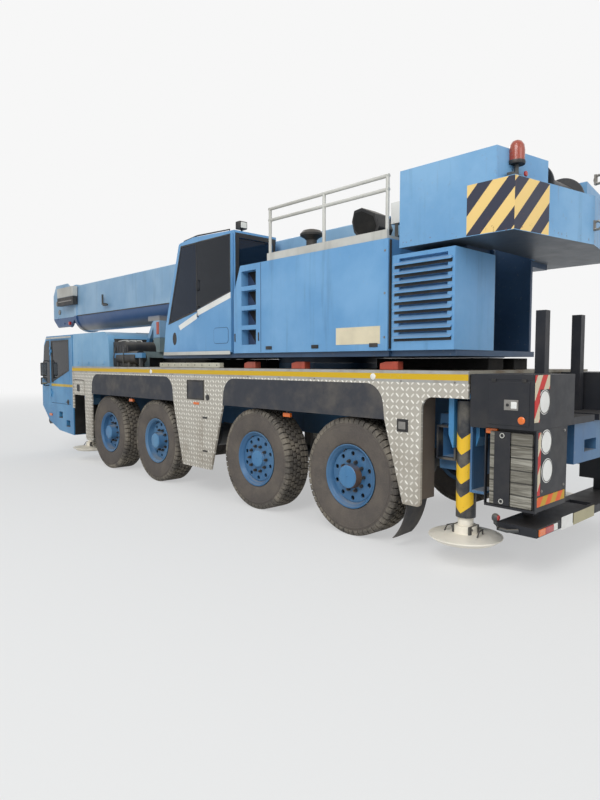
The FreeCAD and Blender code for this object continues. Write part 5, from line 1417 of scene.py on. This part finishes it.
@dataclass
class DriverCab(Fitter):
    """Yellow band, black window frames, mirrors, wipers, handles, lamps and roof trim."""

    trim: float = 1.2535
    lean: float = 0.1716

    def band(self) -> None:
        """Add the band, the handles, the glass and its rubbers on the doors and front corners."""
        corner = [(4.388, 1.480), (4.822, 1.480), (4.690, 2.286), (4.560, 2.410), (4.388, 2.410)]
        self.both("corner_pane", prism(corner, 1.2485, self.trim), DARK_GLASS)
        opening = [(3.405, 1.785), (4.195, 1.565), (4.264, 2.366), (3.405, 2.366)]
        post = [(4.200, 1.500), (4.318, 1.500), (4.318, 2.402), (4.262, 2.402)]
        self.both("cab_band", slab((3.188, 1.2505, 1.425), (3.328, self.trim, 1.478)), YELLOW)
        handle = [button((3.446, 1.249, 1.110), 0.056, 0.006),
                  tube([(3.410, 1.252, 1.110), (3.416, 1.276, 1.110), (3.476, 1.276, 1.110),
                        (3.482, 1.252, 1.110)], 0.008, 8)]
        pieces = (("door_pane", prism(opening, 1.238, 1.246), DARK_GLASS, 0.0),
                  ("door_post", prism(post, 1.2488, 1.2525), BLACK, 0.0),
                  ("door_rubber", rim(opening, 0.036, 1.245, self.trim), BLACK, 0.0),
                  ("door_band", slab((3.346, 1.2490, 1.425), (4.312, self.trim, 1.478)), YELLOW, 0.0),
                  ("door_handle", joined(handle), BLACK, 0.002))
        for side, sign in SIDES:
            for name, mesh, finish, bevel in pieces:
                here = mesh if sign > 0 else mirrored(mesh)
                self.add(f"{name}_{side}", here, finish, bevel, body=f"driver_door_{side}")

    def leaned(self, mesh: Mesh) -> Mesh:
        """Return a mesh sheared to the screen's lean: X is less by lean * (Z - 1.475)."""
        points, faces = mesh
        return points - np.outer((points[:, 2] - 1.475) * self.lean, [1.0, 0.0, 0.0]), faces

    def front(self) -> None:
        """Add the screen's black surround, the wipers, the lamps and the bumper."""
        front = 4.845
        surround = rim([(-1.128, 1.562), (1.128, 1.562), (1.128, 2.286), (-1.128, 2.286)], 0.046,
                       front - 0.006, front + 0.006, "X")
        self.add("screen_surround", self.leaned(surround), BLACK)
        wipers = []
        for y in (0.34, -0.56):
            wipers.append(tube([(front + 0.004, y, 1.500), (front + 0.022, y, 1.530),
                                (front + 0.018, y + 0.46, 1.690)], 0.008, 8))
            wipers.append(slab((front + 0.004, y + 0.10, 1.668), (front + 0.018, y + 0.70, 1.682)))
        self.add("wipers", self.leaned(joined(wipers)), BLACK)
        bumper = [(4.430, 0.600), (4.600, 0.575), (4.655, 0.620), (4.655, 0.790), (4.640, 0.822),
                  (4.430, 0.645)]
        self.add("bumper", prism(bumper, -1.200, 1.200), BLACK, 0.008)
        bed = slab((front - 0.004, 0.700, 1.010), (front + 0.010, 1.180, 1.180))
        self.both("head_lamp_bed", bed, MOTOR, 0.006)
        for number, y in enumerate((0.790, 0.930)):
            self.both(f"head_lamp_{number}", button((front + 0.008, y, 1.095), 0.062, 0.018, "X", 36), CLEAR,
                      smooth=True)
        indicator = slab((front + 0.008, 1.030, 1.045), (front + 0.022, 1.160, 1.145))
        self.both("front_indicator", indicator, AMBER, 0.005)
        self.both("side_indicator", slab((4.300, 1.249, 0.775), (4.440, 1.266, 0.825)), AMBER, 0.005)
        slots = [slab((front - 0.002, -0.58, 1.030 + 0.075 * k), (front + 0.010, 0.58, 1.070 + 0.075 * k))
                 for k in range(5)]
        self.add("front_grille", slots, BLACK, 0.003)
        self.add("front_plate", slab((4.653, -0.265, 0.650), (4.661, 0.265, 0.765)), WHITE, 0.003)

    def mirrors(self) -> None:
        """Add the mirror arms and heads at the front corners."""
        way = ((1.246, 1.960), (1.340, 1.975), (1.362, 1.950), (1.362, 1.440), (1.330, 1.425), (1.246, 1.440))
        arm = tube([(4.452, y, z) for y, z in way], 0.011, 10)
        self.both("mirror_arm", arm, BLACK, smooth=True)
        heads = [slab((4.420, 1.296, low), (4.480, 1.426, high))
                 for low, high in ((1.640, 1.930), (1.455, 1.610))]
        self.both("mirror_heads", heads, BLACK, 0.016)
        panes = [slab((4.416, 1.310, low), (4.423, 1.412, high))
                 for low, high in ((1.658, 1.912), (1.472, 1.594))]
        self.both("mirror_panes", panes, MIRROR, 0.002)

    def roof(self) -> None:
        """Add the pale roof edge, the steps' treads and the dark shield behind the cab."""
        edge = slab((3.230, 1.246, 2.440), (4.560, 1.262, 2.474))
        self.both("roof_edge", edge, RAIL, 0.004)
        treads = [slab((3.748, 1.110, 0.758), (3.932, 1.256, 0.772)),
                  slab((3.368, 1.110, 0.598), (3.552, 1.256, 0.612))]
        self.both("cab_steps", treads, BLACK, 0.002)
        self.both("cab_shield", slab((3.150, 0.720, 0.460), (3.166, 1.236, 1.690)), SOOT_AND_SHADE, 0.003)

    def build(self) -> None:
        """Add every piece."""
        self.band()
        self.front()
        self.mirrors()
        self.roof()


@dataclass
class EngineBay(Fitter):
    """Hood latches and slots, hoses and pipes round the radiator, and the boom rest's struts."""

    def hood(self) -> None:
        """Add the lid's latches and its top slots."""
        side = 1.240
        latches = [slab((x, side, 1.900), (x + 0.085, side + 0.010, 1.952)) for x in (1.760, 2.420, 2.900)]
        self.both("hood_latches", latches, HOOD_BLUE, 0.003)
        louvres = [slab((1.80 + 0.07 * k, -0.55, 2.504), (1.83 + 0.07 * k, 0.55, 2.511)) for k in range(14)]
        self.add("hood_louvres", louvres, BLACK, 0.002)

    def hoses(self) -> None:
        """Add the dark shroud with its round rear top, the pale hoses over it and two drop pipes."""
        turn = np.linspace(0.0, np.pi / 2.0, 9)
        top = [(1.120 - 0.14 * math.sin(a), 2.170 + 0.14 * math.cos(a)) for a in turn.tolist()]
        shroud = prism([(0.980, 1.860), (1.535, 1.860), (1.535, 2.310)] + top, 0.450, 1.165)
        self.both("bay_shroud", shroud, BLACK, 0.006)
        grille = prism([(1.528, 1.900), (1.560, 1.900), (1.582, 2.250), (1.606, 2.372), (1.560, 2.372),
                        (1.542, 2.250)], -1.120, 1.120)
        self.add("bay_grille", grille, BLACK, 0.004)
        ribs = [slab((1.03 + 0.10 * k, 1.163, 1.900), (1.07 + 0.10 * k, 1.171, 2.240)) for k in range(5)]
        self.both("bay_ribs", ribs, WINCH, 0.003)
        hoses = [tube([(1.545, y, 2.322), (1.36, y, 2.336), (1.14, y + 0.03, 2.330),
                       (1.04, y + 0.05, 2.262)], 0.011, 8) for y in (1.05, 0.90, 0.78)]
        self.both("bay_hoses", hoses, RAIL, smooth=True)
        drops = [tube([(x, 1.215, 1.880), (x, 1.220, 2.02), (x + 0.02, 1.180, 2.20)], 0.010, 8)
                 for x in (1.06, 1.42)]
        self.both("bay_drops", drops, MOTOR, smooth=True)

    def rest(self) -> None:
        """Add the blue cross beam, its brackets and its tie, and the dark blocks on the deck."""
        self.both("rest_beam", slab((0.420, 1.120, 2.012), (1.440, 1.200, 2.100)), HUB_BLUE, 0.006)
        stands = [slab((x, 1.135, DECK_TOP), (x + 0.05, 1.185, 2.014)) for x in (0.50, 0.90, 1.32)]
        self.both("rest_stands", stands, MOTOR, 0.003)
        self.both("rest_tie", slab((0.930, 0.500, 2.030), (0.990, 1.122, 2.082)), HUB_BLUE, 0.004)
        # Near black blocks on the deck: painted shade in the gap under the superstructure.
        shade_slabs = [slab((rear, inner, DECK_TOP), (front, outer, top)) for rear, front, inner, outer, top in (
            (-0.55, 0.20, 0.06, 0.46, 1.980), (-1.42, -0.60, 0.10, 0.40, 1.984),
            (-1.98, -1.48, 0.16, 0.44, 1.982), (-5.62, -4.10, 0.12, 0.44, 1.984))]
        self.both("deck_shade_blocks", shade_slabs, SOOT_AND_SHADE, 0.006)

    def build(self) -> None:
        """Add every piece."""
        self.hood()
        self.hoses()
        self.rest()


@dataclass
class Superstructure(Fitter):
    """Intake, exhaust, louvres, seams, lamps, beacon and small fittings behind the crane cab."""

    body: str = "superstructure"

    def housing(self) -> None:
        """Add the housing's seams, fins and catches, its bare cream plate, recessed grips and bolts, the
        vents' backs and the dark block under it.
        """
        side = 1.280
        fins = [slab((-4.700, 1.246, 2.330 + 0.062 * k), (-3.750, 1.262, 2.362 + 0.062 * k))
                for k in range(9)]
        seams = [slab((x, 1.247, 2.070), (x + 0.006, 1.2525, 3.090)) for x in (-4.860, -3.560, -2.420)]
        seams += [slab((-4.860, 1.247, z), (-2.420, 1.2525, z + 0.006)) for z in (2.180, 2.990)]
        catches = [slab((x, 1.249, 2.205), (x + 0.100, 1.262, 2.245))
                   for x in (-4.500, -3.750, -3.380, -2.620)]
        for name, part, finish in (("right_fins", fins, BODY_BLUE), ("right_seams", seams, RECESS),
                                   ("right_catches", catches, BLACK)):
            self.add(name, mirrored(joined(part)), finish)
        # A near black block under the housing: painted shade in the gap above the deck.
        self.both("under_shade_block", slab((-2.230, 0.10, 1.991), (-0.440, 0.44, 2.064)), SOOT_AND_SHADE, 0.004)
        self.both("housing_seam", slab((-4.940, 1.235, 2.080), (-4.928, 1.262, 3.210)), BLACK)
        self.add("vent_seam", slab((-2.860, side - 0.001, 2.070), (-2.853, side + 0.0015, 3.215)), RECESS)
        levels = [(2.171 + VENT_PITCH * k, 2.369 + VENT_PITCH * k) for k in range(4)]
        backs = [slab((-2.756, 1.158, low), (-2.451, 1.164, high)) for low, high in levels]
        self.add("vent_backs", backs, RECESS)
        # A near black triangle over the rear upper part of each vent's back: painted shadow cast into the
        # recess.
        shades = [prism([(-2.755, low), (-2.640, low), (-2.470, high), (-2.755, high)], 1.163, 1.170)
                  for low, high in levels]
        self.add("vent_shadows", shades, SOOT_AND_SHADE)
        plate = slab((-4.828, side - 0.001, 2.132), (-4.190, side + 0.003, 2.322))
        self.add("cream_plate", plate, CREAM, 0.002)
        grips = [slab((x, side - 0.001, 2.100), (x + 0.115, side + 0.009, 2.142))
                 for x in (-3.075, -3.910, -4.798)]
        grips += [slab((x, side - 0.001, 2.215), (x + 0.022, side + 0.006, 2.325))
                  for x in (-2.318, -2.822)]
        self.add("housing_grips", grips, BLACK, 0.003)
        places = [(-4.885, side, float(z)) for z in (2.20, 2.66, 3.10)]
        self.add("housing_bolts", bolts(places, 0.010, 0.007), STEEL)

    def stacks(self) -> None:
        """Add the mushroom intake, the round lid beside it and the tilted exhaust duct."""
        intake = revolve([(CORE, 0.0), (0.070, 0.0), (0.070, 0.265), (0.095, 0.290), (0.150, 0.320),
                          (0.152, 0.345), (0.120, 0.385), (0.060, 0.402), (CORE, 0.404)],
                         (-3.200, 0.700, HOUSING_TOP), "Z", 40)
        self.add("intake", intake, BLACK, smooth=True)
        lid = revolve([(CORE, 0.0), (0.160, 0.0), (0.162, 0.115), (0.140, 0.150), (0.060, 0.170),
                       (CORE, 0.172)], (-3.520, 0.720, HOUSING_TOP), "Z", 36)
        self.add("round_lid", lid, MOTOR, smooth=True)
        outline = [(-4.040, 3.600), (-4.075, 3.470), (-4.150, 3.390), (-4.420, 3.390), (-4.460, 3.480),
                   (-4.400, 3.640), (-4.190, 3.740), (-4.075, 3.725)]
        duct = [prism(outline, 0.600, 0.860), slab((-4.330, 0.640, HOUSING_TOP), (-4.180, 0.820, 3.400))]
        self.add("exhaust", duct, BLACK, 0.010)
        mouth = [(-4.070, 3.598), (-4.100, 3.490), (-4.160, 3.430), (-4.390, 3.430), (-4.420, 3.490),
                 (-4.372, 3.612), (-4.195, 3.700), (-4.090, 3.690)]
        self.add("exhaust_mouth", prism(mouth, 0.858, 0.8615), SOOT_AND_SHADE)
        self.add("white_plate", slab((-4.640, 0.700, 3.520), (-4.510, 0.712, 3.760)), WHITE, 0.003)
        self.add("plate_stand", slab((-4.600, 0.690, HOUSING_TOP), (-4.560, 0.702, 3.540)), MOTOR, 0.002)

    def louvres(self) -> None:
        """Add the sloping slats on the louvre box's side."""
        slats = []
        for k in range(9):
            z = 2.215 + SLAT_PITCH * k
            slats.append(prism([(1.246, z), (1.284, z - 0.026), (1.284, z - 0.036), (1.246, z - 0.012)],
                               -5.680, -4.985, "X"))
        self.add("louvre_slats", slats, BODY_BLUE)
        gaps = [slab((-5.675, 1.2485, 2.152 + SLAT_PITCH * k), (-4.990, 1.2515, 2.190 + SLAT_PITCH * k))
                for k in range(9)]
        self.add("louvre_gaps", gaps, BLACK)

    def beacon(self) -> None:
        """Add the beacon on its arm, the small red lamp and the counterweight's eyes."""
        post = (-6.170, 1.000)
        arm = [slab((-6.200, 0.360, 3.600), (-6.140, 1.120, 3.645)),
               tube([(*post, 3.640), (*post, 3.735)], 0.020, 12)]
        self.add("beacon_arm", arm, MOTOR, 0.003)
        base = revolve([(CORE, 0.0), (0.074, 0.0), (0.078, 0.012), (0.076, 0.032), (CORE, 0.034)],
                       (*post, 3.733), "Z", 32)
        self.add("beacon_base", base, BLACK, smooth=True)
        dome = revolve([(CORE, 0.0), (0.070, 0.0), (0.072, 0.090), (0.064, 0.140), (0.042, 0.172),
                        (0.016, 0.184), (CORE, 0.185)], (*post, 3.766), "Z", 36)
        self.add("beacon_dome", dome, BEACON, smooth=True)
        self.add("red_lamp", button((-6.204, 0.900, 3.665), 0.026, -0.020, "X"), RED, smooth=True)
        eyes = []
        for z in (3.735, 3.290):
            eyes.append(hoop((-6.520, 0.0, z), 0.040, 0.013, "Y", 24))
            eyes.append(slab((-6.500, -0.020, z - 0.050), (-6.480, 0.020, z + 0.050)))
        self.add("weight_eyes", eyes, STEEL, smooth=True)

    def build(self) -> None:
        """Add every piece."""
        self.housing()
        self.stacks()
        self.louvres()
        self.beacon()


@dataclass
class CraneCab(Fitter):
    """Window rubbers, a wide black rim of painted shade round the rear window, white band, handle, roof bar
    and work lamp of the crane cab.
    """

    body: str = "superstructure"
    side: float = 1.227

    def build(self) -> None:
        """Add every piece."""
        side = self.side
        angle = np.linspace(0.0, 2.0 * np.pi, 28, endpoint=False)
        oval = np.stack([-0.684 + 0.055 * np.cos(angle), 2.303 + 0.098 * np.sin(angle)], axis=1).tolist()
        self.add("cab_handle", prism(oval, side - 0.002, side + 0.003), BLACK)
        front = [(-0.542, 2.562), (-0.905, 3.678), (-1.328, 3.678), (-1.328, 2.722)]
        self.add("front_pane", prism(front, side - 0.007, side - 0.001), CAB_GLASS)
        self.add("front_rubber", rim(front, 0.026, side - 0.004, side + 0.0028), BLACK)
        # A wide black rim round the rear window: partly the window's rubber, partly painted shade on the
        # shaded rear wall.
        rear = [(1.153, 2.952), (1.153, 3.648), (0.547, 3.648), (0.547, 2.952)]
        self.add("rear_rubber_and_shade", rim(rear, 0.060, -2.2405, -2.2335, "X"), BLACK)
        self.add("front_post", slab((-1.383, side - 0.001, 2.700), (-1.356, side + 0.0025, 3.690)), HOOD_BLUE)
        band = [(-0.800, 2.500), (-0.850, 2.430), (-1.376, 2.606), (-1.376, 2.692)]
        self.add("cab_white_band", prism(band, side - 0.001, side + 0.0025), WHITE)
        bar = tube([(-0.860, 1.150, 3.752), (-0.870, 1.150, 3.792), (-1.225, 1.150, 3.824),
                    (-2.020, 1.150, 3.790), (-2.030, 1.150, 3.745)], 0.011, 10)
        self.add("roof_bar", bar, BLACK, smooth=True)
        lamp = joined([slab((-2.180, 0.960, 3.790), (-2.080, 1.090, 3.895)),
                       tube([(-2.130, 1.020, 3.735), (-2.130, 1.020, 3.800)], 0.014, 10)])
        self.add("work_lamp", lamp, BLACK, 0.012)
        self.add("work_lamp_lens", slab((-2.182, 0.975, 3.803), (-2.188, 1.075, 3.882)), CLEAR, 0.002)
        self.add("rail_cover", slab((-2.190, 1.2745, 2.046), (-0.440, 1.2835, 2.096)), RAIL, 0.002)
        self.door()

    def door(self) -> None:
        """Add the sliding door's glass, rubber, band, lid and grips, which ride on it."""
        door, face = "crane_cab_door", 1.2795
        glazed = [(-1.400, 2.722), (-1.400, 3.672), (-2.196, 3.672), (-2.196, 2.912)]
        stripe = [(-1.400, 2.700), (-1.400, 2.616), (-2.210, 2.818), (-2.210, 2.898)][::-1]
        lid = rounded((-2.150, 2.205), (-1.815, 2.418), 0.045)
        for name, mesh, finish in (("pane", prism(glazed, face, 1.2845), DARK_GLASS),
                                   ("rubber", rim(glazed, 0.014, 1.2790, 1.2865), BLACK),
                                   ("white_band", prism(stripe, face, 1.2825), WHITE),
                                   ("lid", prism(lid, face, 1.2840), BODY_BLUE),
                                   ("lid_gap", rim(lid, 0.006, face, 1.2815), RECESS)):
            self.add(f"slide_{name}", mesh, finish, body=door)
        for number, z in enumerate((2.600, 2.980)):
            grip = tube([(-1.430, 1.281, z), (-1.430, 1.306, z + 0.01), (-1.430, 1.306, z + 0.15),
                         (-1.430, 1.281, z + 0.16)], 0.008, 8)
            self.add(f"slide_grip_{number}", grip, BLACK, 0.0, True, door)


@dataclass
class BoomTrim(Fitter):
    """Dark seams, the box at the head, brackets, rails, bolts, pins and lamps of the boom."""

    body: str = "boom_base"

    def build(self) -> None:
        """Add every piece."""
        self.both("boom_seam", slab((-4.180, 0.348, 3.020), (5.005, 0.357, 3.040)), BLACK)
        for name, low, high, lid_low, lid_high, finish in (
                ("head_box_low", 3.292, 3.480, 3.290, 3.302, BLACK),
                ("head_box_high", 3.484, 3.706, 3.698, 3.710, RAIL)):
            self.add(name, [slab((4.925, 0.477, low), (5.845, 0.486, high)),
                            slab((4.925, 0.372, low), (4.936, 0.484, high)),
                            slab((4.928, 0.374, lid_low), (5.842, 0.484, lid_high))], finish, 0.004)
        self.add("head_box_band", slab((5.000, 0.484, 3.372), (5.780, 0.490, 3.396)), STEEL, 0.002)
        bracket = [slab((3.470, 0.348, 3.180), (3.560, 0.430, 3.215)),
                   slab((3.300, 0.400, 3.150), (3.500, 0.435, 3.185)),
                   slab((3.520, 0.398, 3.210), (3.552, 0.432, 3.400))]
        self.both("boom_bracket", bracket, MOTOR, 0.003)
        self.add("rest_red_bar", slab((0.866, 0.600, 2.450), (0.946, 0.612, 2.675)), LASHING_RED, 0.003)
        rails = [slab((-4.10, turn * 0.24 - 0.012, 3.729), (5.00, turn * 0.24 + 0.012, 3.742))
                 for _, turn in SIDES]
        self.add("boom_top_rails", rails, BOOM_BLUE, 0.003)
        places = [(5.075, 0.352, float(z)) for z in (3.12, 3.30, 3.48, 3.66)]
        self.both("collar_bolts", bolts(places, 0.016, 0.012), STEEL)
        head = "boom_section_3"
        self.both("boom_lamp", button((5.560, 0.285, 2.880), 0.045, 0.050), RED, 0.0, True, head)
        pins = [button((x, turn * 0.291, z), 0.062, turn * 0.020)
                for x, z in ((6.190, 3.180), (6.320, 3.400)) for _, turn in SIDES]
        self.add("head_pins", pins, STEEL, 0.0, True, head)


@dataclass
class Studio:
    """The pale floor, the lamps and the camera at the photograph's angle."""

    eye: tuple[float, float, float] = (-8.862, 6.256, 1.93)
    yaw: float = -43.380149
    pitch: float = -3.558155
    roll: float = 0.0574
    lens: float = 26.886
    floor_shade: Colour = shade(214, 214, 212)
    backdrop: Colour = (0.93, 0.93, 0.93)
    sky_light: Colour = (0.90, 0.95, 1.0)

    def camera(self) -> None:
        """Set the camera: yaw turns from +X towards +Y, pitch lifts, roll turns the picture."""
        data = bpy.data.cameras.new("camera")
        data.sensor_width = 36.0
        data.sensor_fit = "AUTO"
        data.lens = self.lens
        data.clip_end = 200.0
        made = bpy.data.objects.new("camera", data)
        bpy.context.scene.collection.objects.link(made)
        yaw, pitch = math.radians(self.yaw), math.radians(self.pitch)
        towards = Vector((math.cos(pitch) * math.cos(yaw), math.cos(pitch) * math.sin(yaw), math.sin(pitch)))
        turn = towards.to_track_quat("-Z", "Y").to_matrix().to_4x4()
        roll = Matrix.Rotation(math.radians(self.roll), 4, "Z")
        made.matrix_world = Matrix.Translation(self.eye) @ turn @ roll
        bpy.context.scene.camera = made

    def plain(self, name: str, strength: float) -> bpy.types.Material:
        """Return the floor's material: lit near the crane, and the backdrop's shade further out."""
        graph = Graph(name)
        graph.finish(self.floor_shade, 0.9)
        seen = graph.seen()
        glow = graph.node("ShaderNodeEmission", inputs={"Color": self.backdrop, "Strength": 1.0})
        across, side, _ = graph.axes()
        far = (across * across + side * side).math("SQRT").ramp(9.0, 34.0)
        blend = graph.node("ShaderNodeMixShader", inputs={
            0: seen * (far * (1.0 - strength) + strength), 1: Wire(graph, graph.shader.outputs[0]), 2: glow})
        output = next(node for node in graph.tree.nodes if node.type == "OUTPUT_MATERIAL")
        graph.tree.links.new(blend.socket, output.inputs[0])
        return graph.material

    def floor(self) -> None:
        """Lay the floor: one large square grid at Z = 0."""
        half, count = 120.0, 9
        line = np.linspace(-half, half, count)
        across, side = np.meshgrid(line, line, indexing="ij")
        points = np.stack([across.ravel(), side.ravel(), np.zeros(count * count)], axis=1)
        data = bpy.data.meshes.new("floor")
        data.from_pydata(points.tolist(), [], grid_faces(count, count)[:, ::-1].tolist())
        data.materials.append(self.plain("floor", 0.5))
        made = bpy.data.objects.new("floor", data)
        bpy.context.scene.collection.objects.link(made)

    def lamp(self, name: str, place: tuple[float, float, float], size: float, power: float) -> None:
        """Hang one soft square lamp that looks at the crane's middle."""
        data = bpy.data.lights.new(name, "AREA")
        data.shape = "SQUARE"
        data.size = size
        data.energy = power
        made = bpy.data.objects.new(name, data)
        bpy.context.scene.collection.objects.link(made)
        look = (Vector((-0.5, 0.0, 1.5)) - Vector(place)).to_track_quat("-Z", "Y").to_matrix().to_4x4()
        made.matrix_world = Matrix.Translation(place) @ look

    def sky(self) -> None:
        """Set the world: a soft even light, and near white where it is seen."""
        world = bpy.data.worlds.new("sky")
        bpy.context.scene.world = world
        world.use_nodes = True
        graph = SkyGraph(world)
        light = graph.node("ShaderNodeBackground", inputs={0: self.sky_light, 1: 0.5})
        backdrop = graph.node("ShaderNodeBackground", inputs={0: self.backdrop, 1: 1.0})
        blend = graph.node("ShaderNodeMixShader", inputs={0: graph.seen(), 1: light, 2: backdrop})
        output = graph.tree.nodes.new("ShaderNodeOutputWorld")
        graph.tree.links.new(blend.socket, output.inputs[0])

    def build(self) -> None:
        """Set up everything round the crane."""
        bpy.context.scene.view_settings.view_transform = "Standard"
        self.camera()
        self.floor()
        self.sky()
        self.lamp("key", (-9.0, 14.0, 13.0), 9.0, 1750.0)
        self.lamp("fill", (-18.0, 2.0, 8.0), 8.0, 480.0)
        self.lamp("back", (12.0, -10.0, 12.0), 9.0, 800.0)


def main() -> None:
    """Build the scene, one sub-assembly after another, and report each."""
    logging.basicConfig(level=logging.INFO, format="%(message)s")
    shop = Workshop()
    Studio().build()
    dress_frame(shop)
    for position in Position:
        for side, sign in SIDES:
            Wheel(position, side, sign).build(shop)
    for part in (RearEnd, CarrierSides, Outriggers, DriverCab, EngineBay, Superstructure, CraneCab, BoomTrim):
        part(shop).build()
        LOG.info("built: %s", part.__name__)
    LOG.info("finished: %d materials", len(shop.materials))


if __name__ == "__main__":
    main()
